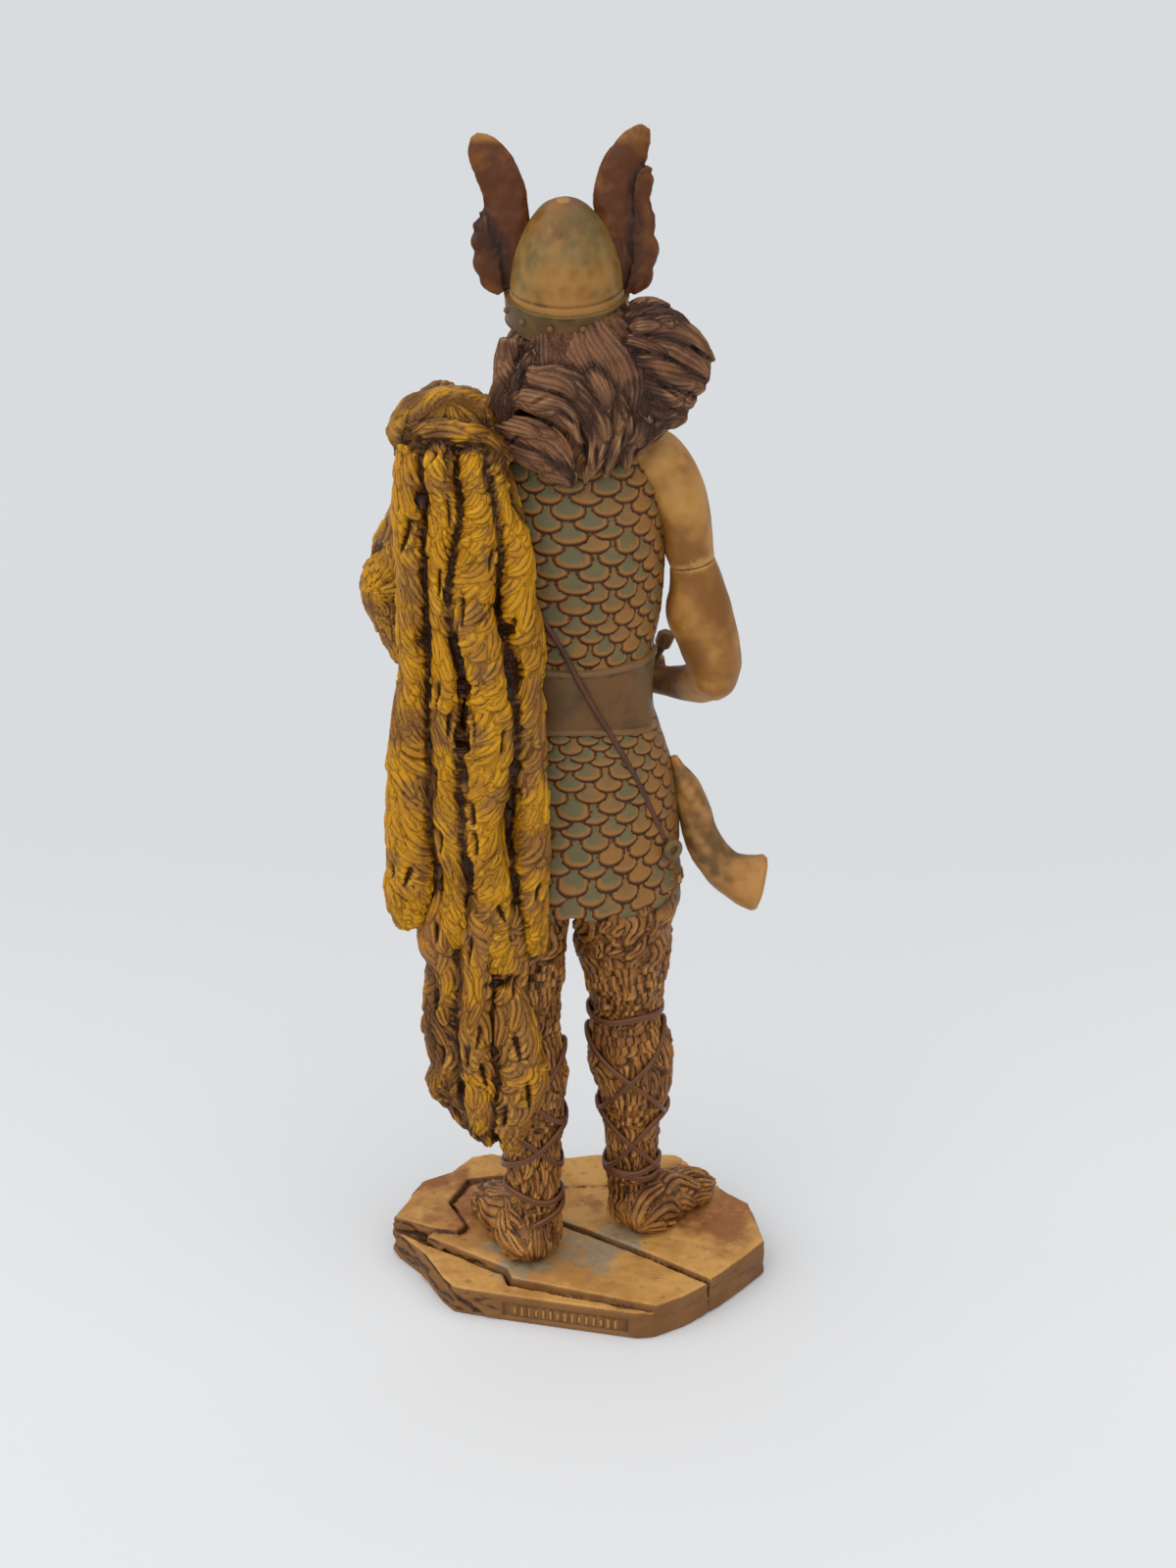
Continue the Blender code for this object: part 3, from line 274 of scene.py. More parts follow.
def coat(form, seed, long, wide, lift, strands=3, lean=0.0, sweep=0.8, curl=0.3, scatter=0.2, waves=0.0,
         spacing=0.45, swirl=0.0, swirl_length=24.0):
    """Heights and tints of overlapping pointed tufts, laid out round a form and along it.

    long and wide are a tuft's size, strands how many ridges it has, lean its slant (or a rule for
    it), sweep how much that grows towards the tip, curl how much it bends, waves how much it winds
    like an S, and swirl how far the slant comes and goes along the form."""
    draw = np.random.default_rng(seed)
    share = np.linspace(0, 1, AXIS_STEPS)
    middle, _, _, _, half_width, half_depth = middle_line(form["rows"], share, form["side"])
    length = np.linalg.norm(np.diff(middle, axis=0), axis=1).sum()
    girth = math.pi * (half_width + half_depth)[4:-4].mean()
    down, round_about = max(int(length / CELL), 8), max(int(girth / CELL), 8)
    lines = int(length / (long * spacing)) + 5
    columns = max(int(round(girth / (wide * 0.8))), 3)
    line, column = np.meshgrid(np.arange(lines), np.arange(columns), indexing="ij")
    count = lines * columns
    v0 = (line.ravel() - 2.6 + draw.uniform(-0.5, 0.5, count)) * long * spacing
    u0 = (column.ravel() + 0.5 * (line.ravel() % 2) + draw.uniform(-0.4, 0.4, count)) * girth / columns
    order = np.argsort(-v0)
    u0, v0 = u0[order], v0[order]
    length_own = long * draw.uniform(0.65, 1.35, count)
    width_own = wide / 2 * draw.uniform(0.8, 1.4, count)
    turn = u0 / girth * 2 * math.pi
    way = lean(turn, v0 / length) if callable(lean) else np.full(count, float(lean))
    phase = draw.uniform(0, 6.28)
    way = way + swirl * np.sin(2 * math.pi * v0 / swirl_length + phase + np.sin(turn))
    way = way + draw.normal(0, scatter, count)
    bow = curl * draw.normal(0, 1, count)
    s = np.linspace(0, 1, int(long * 1.5 / CELL) + 2)
    t = np.linspace(-1, 1, int(wide * 1.6 / CELL) + 3)
    angle = (way[:, None] * (1 - sweep / 2 + sweep * s) + bow[:, None] * (s - 0.35)
             + waves * np.sin(2 * math.pi * s)[None])
    step = (length_own / len(s))[:, None]
    go_u = np.cumsum(np.sin(angle) * step, 1)
    go_v = np.cumsum(np.cos(angle) * step, 1)
    taper = (0.25 + s) ** 0.4 * (1 - s) ** 0.55
    half = width_own[:, None] * (taper / taper.max())[None]
    u = u0[:, None, None] + go_u[..., None] + (half * np.cos(angle))[..., None] * t
    v = v0[:, None, None] + go_v[..., None] - (half * np.sin(angle))[..., None] * t
    round_top = np.sqrt(1 - 0.85 * t**2)
    parting = draw.uniform(0, 1, count)
    strand = t[None] * strands / 2 + parting[:, None]
    comb = np.abs(np.sin(math.pi * strand)) ** 0.8
    rise = (0.45 + 0.55 * s) * (1 - smooth_step(s, 0.9, 1.0) * 0.5)
    high = lift * draw.uniform(0.75, 1.2, count)
    height = (high[:, None] * rise[None])[..., None] * (round_top * (0.4 + 0.6 * comb))[:, None, :]
    tint = np.broadcast_to(draw.uniform(0, 1, count)[:, None, None], height.shape)
    strand = np.broadcast_to(strand[:, None, :], height.shape)
    iu = np.rint(u / CELL).astype(int) % round_about
    iv = np.rint(v / CELL).astype(int)
    inside = (iv >= 0) & (iv < down)
    spot = (iv * round_about + iu)[inside]
    heights = np.zeros(down * round_about)
    tints = np.full(down * round_about, 0.5)
    strand_at = np.full(down * round_about, 0.5)
    heights[spot] = height[inside]
    tints[spot] = tint[inside]
    strand_at[spot] = strand[inside]
    return {"heights": blurred(heights.reshape(down, round_about)),
            "tints": tints.reshape(down, round_about),
            "strands": strand_at.reshape(down, round_about)}


def uneven(rows, seed, amount, pitch):
    """A form's rows with more rows between them, each pushed a little out of line and out of size."""
    draw = np.random.default_rng(seed)
    share = np.linspace(0, 1, 40)
    length = np.linalg.norm(np.diff(along_rows(rows, share)[:, :3], axis=0), axis=1).sum()
    steps = max(int(length / pitch), len(rows)) + 1
    fresh = along_rows(rows, np.linspace(0, 1, steps))
    push = draw.normal(0, amount, (steps, 5)) * (1, 0.6, 0, 0.6, 0.6)
    push[[0, -1]] = 0
    fresh = fresh + push
    fresh[:, 3:] = np.maximum(fresh[:, 3:], 0.5)
    return [tuple(row) for row in fresh]


def pocketed(spots, ways, holes):
    """How deep each spot lies in the flame-shaped holes (vertex, tilt, length, width, depth)."""
    down = np.zeros(len(spots))
    for number, tilt, long, wide, depth in holes:
        normal = ways[number]
        along = np.array([math.sin(tilt), 0.0, -math.cos(tilt)])
        along = unit(along - (along * normal).sum() * normal)
        off = spots - spots[number]
        near = np.flatnonzero((off**2).sum(1) < (2.2 * long) ** 2)
        off = off[near]
        a = off @ along / long
        b = off @ np.cross(normal, along) / (wide * (1 - 0.4 * np.clip(a, -1, 1)))
        value = depth * np.exp(-(a * a) ** 1.5 - b * b) * (np.abs(off @ normal) < 3.5)
        down[near] = np.maximum(down[near], value)
    return down


def turned(turn):
    """An angle as a share of the full turn."""
    return (turn / (2 * math.pi)) % 1


def read_grid(grid, turn, share):
    """A coat's value at places round (turn) and along (share)."""
    down, round_about = grid.shape
    u = turned(turn) * round_about
    v = np.clip(share, 0, 1) * (down - 1)
    u0, v0 = u.astype(int) % round_about, np.minimum(v.astype(int), down - 2)
    fu, fv = u - u.astype(int), v - v0
    u1 = (u0 + 1) % round_about
    return ((grid[v0, u0] * (1 - fu) + grid[v0, u1] * fu) * (1 - fv)
            + (grid[v0 + 1, u0] * (1 - fu) + grid[v0 + 1, u1] * fu) * fv)


def nearest_of(grid, turn, share):
    """A coat's value in the one cell that each place lies in."""
    down, round_about = grid.shape
    u = np.rint(turned(turn) * round_about).astype(int) % round_about
    v = np.rint(np.clip(share, 0, 1) * (down - 1)).astype(int)
    return grid[v, u]


def form_of(rows, side=(1, 0, 0), square=1.0):
    """Rows with the way their width lies, and how round they are across."""
    return {"rows": rows, "side": side, "square": square}


def whereabouts(spots, forms):
    """For each spot the form it lies on, its share and turn there, and how far off the next one is."""
    count = len(spots)
    best = np.full(count, np.inf)
    second = np.full(count, np.inf)
    which = np.zeros(count, int)
    share_at = np.zeros(count)
    turn_at = np.zeros(count)
    share = np.linspace(0, 1, AXIS_STEPS)
    for number, form in enumerate(forms):
        middle, wide, deep, travel, half_width, half_depth = middle_line(form["rows"], share, form["side"])
        width = np.maximum(half_width, 1.0)
        depth = np.maximum(half_depth, 1.0)
        mean = (width + depth) / 2
        gap = np.linalg.norm(np.diff(middle, axis=0), axis=1).mean()
        for start in range(0, count, BLOCK):
            block = slice(start, start + BLOCK)
            part = spots[block]
            off = part[:, None, :] - middle[None]
            a = (off * wide).sum(2) / width
            b = (off * deep).sum(2) / depth
            c = (off * travel).sum(2)
            value = np.sqrt(a * a + b * b + (c / mean) ** 2)
            pick = np.argmin(value, 1)
            row = np.arange(len(part))
            near = value[row, pick]
            clear = (near - 1) * mean[pick]
            along = share[pick] + np.clip(c[row, pick] / gap, -0.6, 0.6) / (AXIS_STEPS - 1)
            turn = np.arctan2(b[row, pick], a[row, pick])
            closer = clear < best[block]
            second[block] = np.where(closer, best[block], np.minimum(second[block], clear))
            which[block] = np.where(closer, number, which[block])
            share_at[block] = np.where(closer, along, share_at[block])
            turn_at[block] = np.where(closer, turn, turn_at[block])
            best[block] = np.where(closer, clear, best[block])
    return which, share_at, turn_at, np.where(np.isinf(second), 9.0, second - best)


def combed(mesh, forms, coats, valley, sink, crest=4.0, floor=None, own_holes=(), holes=0, lumps=None,
           shade=0.7):
    """Lays each form's coat on a melted skin, sinks holes, and marks what the paint reads.

    own_holes are (x, z, tilt, length, width, depth) on the side away from the face; holes is how
    many more lie in the valleys, valley how wide these are and sink how deep. lumps is the size
    and height of broad swellings, shade how dark the painted shade in the valleys is."""
    if lumps:
        roughened(mesh, *lumps, 2)
    spots = places(mesh)
    ways = facing(mesh)
    which, share, turn, apart = whereabouts(spots, forms)
    apart = evened(mesh, apart, 3)
    height = np.zeros(len(spots))
    tint = np.zeros(len(spots))
    strand = np.full(len(spots), 0.5)
    for number, layer in enumerate(coats):
        own = which == number
        height[own] = read_grid(layer["heights"], turn[own], share[own])
        tint[own] = nearest_of(layer["tints"], turn[own], share[own])
        strand[own] = nearest_of(layer["strands"], turn[own], share[own])
    mean = height.mean()
    jagged = apart + 1.3 * (height / max(mean, 0.1) - 1)
    open_part = smooth_step(0.5 * (apart + jagged), 0.0, valley)
    rise = (height - mean) * (0.6 + 0.4 * open_part) - sink * (1 - open_part)
    placed_holes = []
    for x, z, tilt, long, wide, depth in own_holes:
        off = (spots[:, 0] - x) ** 2 + (spots[:, 2] - z) ** 2
        off[spots[:, 1] < spots[:, 1][off < 9].max(initial=-99) - 4] = 1e9
        placed_holes.append((int(np.argmin(off)), tilt, long, wide, depth))
    if holes:
        draw = np.random.default_rng(STRAY_SEED)
        low = np.flatnonzero(apart < 1.6)
        for number in draw.choice(low, holes, replace=False):
            size = draw.uniform(0.6, 1.3, 3) * STRAY_HOLE
            placed_holes.append((int(number), draw.normal(0, 0.4), *size))
    down = pocketed(spots, ways, placed_holes)
    spots = spots + ways * (rise - down)[:, None]
    if floor is not None:
        spots[:, 2] = np.maximum(spots[:, 2], floor)
    move_to(mesh, spots)
    # Painted shade: the holes and, in patches, the valleys between forms are added to the hollow mark,
    # which the paint darkens; crown falls off towards the valleys, where the paint puts its low colour.
    patchy = np.clip(0.65 + 1.2 * rough_noise(spots, 11.0, 2, 5.0), 0.1, 1.0)
    dark = 0.45 * smooth_step(down, 0.1, 1.0) + shade * patchy * (1 - smooth_step(jagged, 0.1, valley))
    mark(mesh, "hollow", np.clip(0.8 * hollows(mesh, 8, 0.27) + dark, -1, 1.6))
    mark(mesh, "crown", smooth_step(evened(mesh, apart, 6), 0.0, crest))
    mark(mesh, "tint", tint)
    mark(mesh, "strand", strand)
    return mesh


def piece(name, mesh, finish, slot, *nodes):
    """A finished piece of the figurine: scaled to metres, shaded, and tied to the frame."""
    spots = places(mesh) * PART
    spots[:, 2] += SOLE_RISE
    move_to(mesh, spots)
    if name in TRIANGLES:
        mesh = thinned(mesh, TRIANGLES[name])
    mesh.name = name
    mesh.materials.clear()
    mesh.materials.append(finish)
    mesh.shade_smooth()
    for trait, plain in TRAITS.items():
        if not mesh.attributes.get(trait):
            mark(mesh, trait, np.full(len(mesh.vertices), plain))
    thing = placed(name, mesh)
    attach(thing, "root")
    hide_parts(*nodes)


def cast(name, mesh, finish):
    """A piece of the warrior's own casting."""
    piece(name, mesh, finish, "figure_paint", "warrior")


# Paints

HAIRS = 2.0             # fine hairs in each ridge of a tuft


class Recipe:
    """A paint being mixed: its material and short ways to add to it."""

    def __init__(self, name):
        self.material = bpy.data.materials.new(name)
        self.material.use_nodes = True
        self.tree = self.material.node_tree
        self.shader = self.tree.nodes["Principled BSDF"]
        self.coords = self.tree.nodes.new("ShaderNodeTexCoord").outputs["Object"]

    def feed(self, socket, value):
        """Links another output, or sets a number or a colour of 0 to 255."""
        if isinstance(value, bpy.types.NodeSocket):
            self.tree.links.new(value, socket)
        elif isinstance(value, tuple):
            socket.default_value = (*from_screen(*value), 1)
        else:
            socket.default_value = value

    def trait(self, name):
        reader = self.tree.nodes.new("ShaderNodeAttribute")
        reader.attribute_name = name
        return reader.outputs["Fac"]

    def clouds(self, size, detail=3.0, roughness=0.55, shift=(0, 0, 0)):
        """Soft patches about size metres across."""
        moved = self.tree.nodes.new("ShaderNodeMapping")
        self.feed(moved.inputs["Vector"], self.coords)
        moved.inputs["Location"].default_value = shift
        patches = self.tree.nodes.new("ShaderNodeTexNoise")
        self.feed(patches.inputs["Vector"], moved.outputs["Vector"])
        patches.inputs["Scale"].default_value = 1 / size
        patches.inputs["Detail"].default_value = detail
        patches.inputs["Roughness"].default_value = roughness
        return patches.outputs["Fac"]

    def level(self, value, low, high, start=0.0, end=1.0):
        """start up to low, end from high on, and a soft passage in between."""
        span = self.tree.nodes.new("ShaderNodeMapRange")
        span.interpolation_type = "SMOOTHSTEP"
        self.feed(span.inputs["Value"], value)
        for name, amount in (("From Min", low), ("From Max", high), ("To Min", start), ("To Max", end)):
            span.inputs[name].default_value = amount
        return span.outputs["Result"]

    def work(self, operation, first, second):
        sum_up = self.tree.nodes.new("ShaderNodeMath")
        sum_up.operation = operation
        self.feed(sum_up.inputs[0], first)
        self.feed(sum_up.inputs[1], second)
        return sum_up.outputs[0]

    def plus(self, first, second, times):
        """The first and so many times the second."""
        return self.work("ADD", first, self.work("MULTIPLY", second, times))

    def blend(self, amount, under, over):
        mix = self.tree.nodes.new("ShaderNodeMix")
        mix.data_type = "RGBA"
        self.feed(mix.inputs[0], amount)
        self.feed(mix.inputs[6], under)
        self.feed(mix.inputs[7], over)
        return mix.outputs[2]

    def bump(self, height, strength, distance):
        rough = self.tree.nodes.new("ShaderNodeBump")
        rough.inputs["Strength"].default_value = strength
        rough.inputs["Distance"].default_value = distance
        self.feed(rough.inputs["Height"], height)
        return rough.outputs["Normal"]

    def done(self, colour, roughness, normal=None, specular=0.35):
        self.feed(self.shader.inputs["Base Color"], colour)
        self.feed(self.shader.inputs["Roughness"], roughness)
        self.shader.inputs["Specular IOR Level"].default_value = specular
        if normal is not None:
            self.feed(self.shader.inputs["Normal"], normal)
        return self.material


def from_screen(red, green, blue):
    """A colour as a screen shows it, in the shader's own linear numbers."""
    def linear(value):
        value /= 255
        return value / 12.92 if value <= 0.04045 else ((value + 0.055) / 1.055) ** 2.4
    return (linear(red), linear(green), linear(blue))


def aged_paint(name, ground, second, shade_wash, highlight_brush, patch=0.012, patch_share=(0.45, 0.6),
               shade_wash_from=(0.1, 0.75), highlight_brush_from=(0.15, 0.8), highlight_brush_most=0.6, tint_share=None,
               low_colour=None, low_span=(0.1, 0.8), rough=0.5, grain=0.0004, grain_bump=0.25,
               third=None, third_share=(0.5, 0.7), third_patch=0.02, strands=0.0):
    """Paint on moulded resin: two patchy grounds, low_colour on the flanks (partly painted shade
    between forms), the hollows washed dark (also painted shade), a lighter brush over the
    edges (also a painted highlight), and a fine grain. strands is how dark the lines between a
    tuft's ridges are: painted shade in those grooves."""
    mix = Recipe(name)
    hollow = mix.trait("hollow")
    patches = mix.clouds(patch, 4.0, 0.6)
    if tint_share is not None:
        patches = mix.plus(mix.work("MULTIPLY", patches, 1 - tint_share), mix.trait("tint"), tint_share)
    colour = mix.blend(mix.level(patches, *patch_share), ground, second)
    if third:
        other = mix.clouds(third_patch, 3.0, 0.6, shift=(0.31, 0.17, 0.05))
        colour = mix.blend(mix.level(other, *third_share), colour, third)
    # low_colour lies where crown is low and in stray patches: near the valleys between forms and on the
    # right arm's front it is painted shade, elsewhere a darker tone at random.
    if low_colour:
        stray = mix.work("MULTIPLY", mix.clouds(0.007, 3.0, 0.6, shift=(0.5, 0.2, 0.9)), 0.9)
        rank = mix.work("ADD", mix.work("SUBTRACT", mix.trait("crown"), 0.45), stray)
        colour = mix.blend(mix.level(rank, *low_span, 0.95, 0.0), colour, low_colour)
    # The lighter brush over raised edges (worn) is brushed paint and also a painted highlight.
    raised = mix.work("MULTIPLY", hollow, -1.0)
    worn = mix.level(mix.plus(raised, mix.clouds(0.004), 0.3), highlight_brush_from[0] + 0.15, highlight_brush_from[1] + 0.15,
                     0.0, highlight_brush_most)
    colour = mix.blend(worn, colour, highlight_brush)
    # The hollows, valleys and holes darken towards the dark wash colour: partly antiquing, partly painted
    # shade.
    shade_pool = mix.plus(hollow, mix.clouds(0.006, shift=(0.1, 0.2, 0.3)), 0.3)
    height = mix.work("MULTIPLY", mix.clouds(grain, 2.0), grain_bump)
    # Dark lines along the grooves between a tuft's ridges and fine hairs: painted shade.
    if strands:
        place = mix.work("MULTIPLY", mix.trait("strand"), math.pi)
        ridge = mix.work("ABSOLUTE", mix.work("SINE", place, 0.0), 0.0)
        hairs = mix.work("ABSOLUTE", mix.work("SINE", mix.work("MULTIPLY", place, HAIRS), 0.0), 0.0)
        gone = mix.level(mix.clouds(0.005, shift=(0.6, 0.3, 0.8)), 0.3, 0.55, 0.25, 1.0)
        shade_pool = mix.plus(shade_pool, mix.level(ridge, 0.0, 0.6, strands, 0.0), gone)
        shade_pool = mix.work("ADD", shade_pool, mix.level(hairs, 0.0, 0.7, strands * 0.3, 0.0))
        height = mix.work("ADD", height, mix.plus(mix.work("MULTIPLY", ridge, 1.6), hairs, 0.6))
    dark = mix.level(shade_pool, shade_wash_from[0] + 0.15, shade_wash_from[1] + 0.15, 0.0, 0.95)
    colour = mix.blend(dark, colour, shade_wash)
    shine = mix.level(mix.clouds(0.009, shift=(0.7, 0.1, 0.4)), 0.35, 0.7, rough - 0.08, rough + 0.1)
    normal = mix.bump(height, 0.8, 0.00015)
    return mix.done(colour, shine, normal, 0.25)


# Tables, as in the solids: x, y, z, half width, half depth

TORSO = [               # x, y, z, half width, half depth
    (1.5, -5.0, 228, 8.0, 6.0),
    (1.5, -5.0, 221, 20.0, 11.0),
    (1.4, -4.6, 211, 23.0, 13.4),
    (1.3, -4.2, 200, 23.2, 14.4),
    (1.2, -4.0, 189, 23.1, 14.2),
    (1.2, -4.0, 178, 22.4, 13.2),
    (1.2, -4.0, 167, 20.4, 12.2),
    (1.2, -4.0, 156, 19.4, 11.8),
]
SKIRT = [
    (1.2, -4.0, 154, 19.4, 12.0),
    (1.2, -4.0, 143, 21.2, 13.4),
    (1.2, -3.6, 131, 24.0, 15.2),
    (1.2, -3.2, 117, 26.6, 16.6),
    (1.2, -3.0, 101, 28.6, 17.8),
]
BELT = [
    (1.2, -4.0, 164.3, 21.2, 13.2),
    (1.2, -4.0, 156.0, 20.6, 12.9),
    (1.2, -4.0, 147.5, 21.4, 13.5),
]
BUCKLE = [
    (1.2, -15.0, 156.0, 5.0, 6.6),
    (1.2, -18.6, 156.0, 5.0, 6.6),
]
BALDRIC_BACK = [        # x and z down the armour's back, from under the cloak to the right hip
    (12.0, 185), (7.3, 176.5), (3.4, 170), (-0.4, 162.4), (-5.2, 153.3), (-8.9, 146.7),
    (-13.9, 137.5), (-19.0, 126.4), (-22.4, 118),
]
BALDRIC_FRONT = [       # and down its front, from the left shoulder
    (18.0, 200), (10.0, 186), (3.0, 173), (-3.6, 161), (-9.4, 149), (-15.6, 136), (-21.4, 121),
]
RING_MIDDLE = (-23.4, 5.7, 115.3)   # of the baldric's lower ring
RING_TURN = math.radians(34)        # how far it is turned about the vertical from facing the back
RING_RADIUS = 1.95
RING_WIRE = 0.75
HEAD = [
    (2.2, -5.0, 266, 9.0, 9.5),
    (2.2, -7.0, 255, 12.0, 13.2),
    (2.1, -8.4, 246, 11.8, 13.4),
    (2.0, -9.2, 237, 10.2, 12.4),
    (2.0, -8.4, 229, 8.2, 9.4),
    (2.0, -6.0, 219, 9.0, 8.5),
]
NOSE = [
    (2.1, -20.6, 251.0, 1.0, 1.4),
    (2.1, -22.2, 246.5, 1.3, 1.7),
    (2.1, -23.6, 241.6, 2.3, 2.1),
    (2.1, -22.6, 239.6, 1.4, 1.2),
]
BROW = [                # half of each pair: offsets from the middle, mirrored
    (1.4, -21.6, 249.6, 1.0, 1.1),
    (4.8, -20.9, 250.6, 1.2, 1.3),
    (8.6, -18.0, 249.2, 0.9, 1.0),
]
EYE = [
    (4.3, -19.8, 248.3, 0.8, 0.8),
    (4.3, -19.9, 247.4, 1.7, 1.3),
    (4.3, -19.8, 246.4, 0.8, 0.8),
]
MOUSTACHE = [
    (0.3, -22.4, 238.8, 1.4, 1.4),
    (3.6, -22.0, 237.2, 1.8, 1.6),
    (7.2, -19.8, 233.4, 1.5, 1.3),
    (9.0, -18.6, 229.4, 0.6, 0.6),
]
BEARD = [
    (2.1, -15.6, 240.0, 9.6, 5.4),
    (2.1, -17.2, 233.0, 10.0, 6.2),
    (2.1, -18.8, 225.0, 8.6, 5.6),
    (2.1, -19.4, 217.0, 6.2, 4.4),
    (2.3, -19.0, 209.5, 3.2, 2.6),
    (2.6, -18.4, 205.0, 0.9, 0.9),
]
DOME = [                # the helmet, leaning back
    (3.0, -0.5, 279.2, 1.2, 1.2),
    (2.9, -0.9, 277.7, 4.8, 4.8),
    (2.8, -1.5, 274.9, 7.6, 7.6),
    (2.6, -2.7, 269.3, 11.1, 11.1),
    (2.4, -4.0, 262.5, 13.3, 13.4),
    (2.3, -5.4, 256.0, 14.1, 14.4),
]
RIM = [
    (2.3, -5.1, 256.9, 14.2, 14.5),
    (2.3, -5.3, 256.1, 14.9, 15.2),
    (2.2, -6.5, 250.6, 14.9, 15.2),
    (2.2, -6.7, 249.8, 14.2, 14.5),
]
WINGS = {               # two blades of feathers on each side of the helmet
    "left upper wing": [
        (14.6, -4.0, 258, 2.6, 1.6), (16.4, -4.0, 263, 6.4, 2.0), (17.5, -4.2, 271, 6.6, 2.1),
        (17.6, -4.6, 279, 5.9, 1.8), (20.2, -5.2, 286, 5.6, 1.6), (22.6, -5.8, 291, 3.6, 1.3),
        (24.0, -6.0, 293.4, 1.2, 0.8)],
    "left lower wing": [
        (18.0, -3.2, 256.6, 1.6, 1.2), (20.4, -3.2, 262, 3.8, 1.7), (21.0, -3.4, 268, 3.8, 1.6),
        (21.8, -3.6, 273, 2.6, 1.2), (22.4, -3.8, 276, 0.8, 0.8)],
    "right upper wing": [
        (-9.6, -4.0, 258, 2.6, 1.6), (-11.4, -4.0, 263, 6.0, 2.0), (-11.4, -4.2, 271, 6.4, 2.1),
        (-9.8, -4.6, 279, 5.9, 1.8), (-12.0, -5.2, 287, 5.3, 1.6), (-14.6, -5.8, 292.6, 3.4, 1.3),
        (-16.4, -6.0, 295.2, 1.2, 0.8)],
    "right lower wing": [
        (-13.0, -3.2, 256.6, 1.6, 1.2), (-15.4, -3.2, 262, 3.4, 1.7), (-15.8, -3.4, 268.5, 3.5, 1.6),
        (-15.4, -3.6, 276, 2.6, 1.3), (-16.2, -3.8, 284, 2.1, 1.1), (-17.2, -4.0, 286.4, 0.7, 0.7)],
}
HAIR_CORE = [
    (1.0, 0.5, 250, 12.0, 7.5),
    (-2.0, 3.2, 243.4, 16.0, 8.0),
    (-4.6, 4.6, 236.4, 18.4, 9.0),
    (-3.6, 6.2, 228, 15.0, 7.2),
    (-1.0, 8.5, 220, 10.0, 4.0),
    (-0.5, 9.0, 215, 4.0, 2.0),
]
CLOAK_BACKING = [
    (29.5, 9.0, 226, 10.0, 5.0),
    (27.0, 10.5, 210, 13.0, 5.0),
    (26.0, 11.0, 190, 15.5, 4.6),
    (26.0, 11.6, 165, 17.0, 4.6),
    (28.0, 12.0, 140, 18.0, 4.6),
    (28.0, 12.4, 115, 18.6, 4.6),
    (27.0, 12.6, 97, 15.0, 3.6),
]
FOLDS = [
    [(39.0, 9, 222, 4.4, 4.6), (39.4, 12, 205, 4.8, 5.4), (38.8, 14, 185, 4.2, 5.6),
     (39.4, 15, 165, 4.9, 5.8), (40.8, 15.6, 145, 6.0, 5.8), (42.2, 15.6, 124, 7.4, 5.6),
     (42.2, 15.2, 107, 6.9, 5.0), (42.6, 14.6, 98, 4.0, 3.0)],
    [(31.6, 10, 228, 4.2, 5.0), (32.2, 14, 214, 4.4, 5.6), (32.0, 16, 200, 4.2, 6.0),
     (31.8, 17, 182, 4.6, 6.2), (31.4, 17, 163, 4.8, 6.2), (31.0, 17, 143, 5.0, 6.2),
     (31.0, 17, 123, 5.2, 6.0), (30.8, 16.4, 105, 4.8, 5.2), (30.4, 16.0, 93, 3.0, 3.0)],
    [(24.4, 10, 228, 4.0, 5.0), (24.8, 15, 215, 5.0, 6.2), (23.8, 17.6, 200, 5.6, 6.8),
     (22.6, 18.6, 184, 6.0, 7.0), (21.6, 19.0, 165, 6.4, 7.2), (21.0, 19.0, 145, 6.4, 7.2),
     (21.4, 18.8, 124, 6.0, 6.8), (21.0, 18.2, 104, 6.0, 6.2), (19.8, 17.6, 86, 3.6, 3.6)],
    [(20.0, 9, 226, 2.6, 3.4), (18.6, 12, 215, 3.6, 4.4), (16.0, 14.4, 204, 4.2, 5.0),
     (13.2, 16.0, 191, 4.9, 5.8), (11.8, 16.8, 176, 4.8, 6.0), (11.5, 17.0, 160, 4.7, 6.2),
     (11.4, 17.0, 143, 4.8, 6.2), (11.8, 16.8, 123, 5.0, 6.0), (10.6, 16.2, 106, 5.0, 5.6),
     (10.6, 15.6, 91, 3.2, 3.2)],
]
LOWER_BACKING = [
    (26.0, 12.6, 106, 13.0, 5.0),
    (26.0, 13.6, 88, 13.2, 5.2),
    (26.2, 14.4, 70, 14.0, 5.4),
    (24.8, 14.8, 54, 12.4, 5.0),
    (22.6, 15.4, 42, 8.6, 4.2),
    (20.6, 15.8, 35, 3.6, 2.4),
]
LOWER_LAYER = [
    [(32.0, 13.4, 108, 5.4, 5.0), (32.4, 14.4, 92, 5.6, 5.2), (33.4, 15.0, 78, 5.8, 5.4),
     (34.8, 15.2, 66, 6.0, 5.0), (33.2, 15.0, 54, 4.8, 4.2), (33.4, 14.6, 46, 2.6, 2.6)],
    [(25.0, 14.0, 108, 5.6, 5.4), (25.2, 15.6, 92, 5.8, 6.0), (25.6, 16.4, 77, 6.0, 6.2),
     (26.0, 16.8, 61, 6.2, 6.0), (25.8, 16.8, 48, 5.4, 5.2), (26.8, 16.4, 37, 2.4, 2.6)],
    [(17.6, 13.6, 108, 5.4, 5.2), (18.0, 15.4, 92, 5.2, 5.8), (17.6, 16.4, 76, 6.2, 6.2),
     (16.4, 17.0, 60, 7.2, 6.2), (16.0, 17.2, 46, 6.6, 5.8), (18.0, 17.0, 33, 2.6, 2.8)],
]
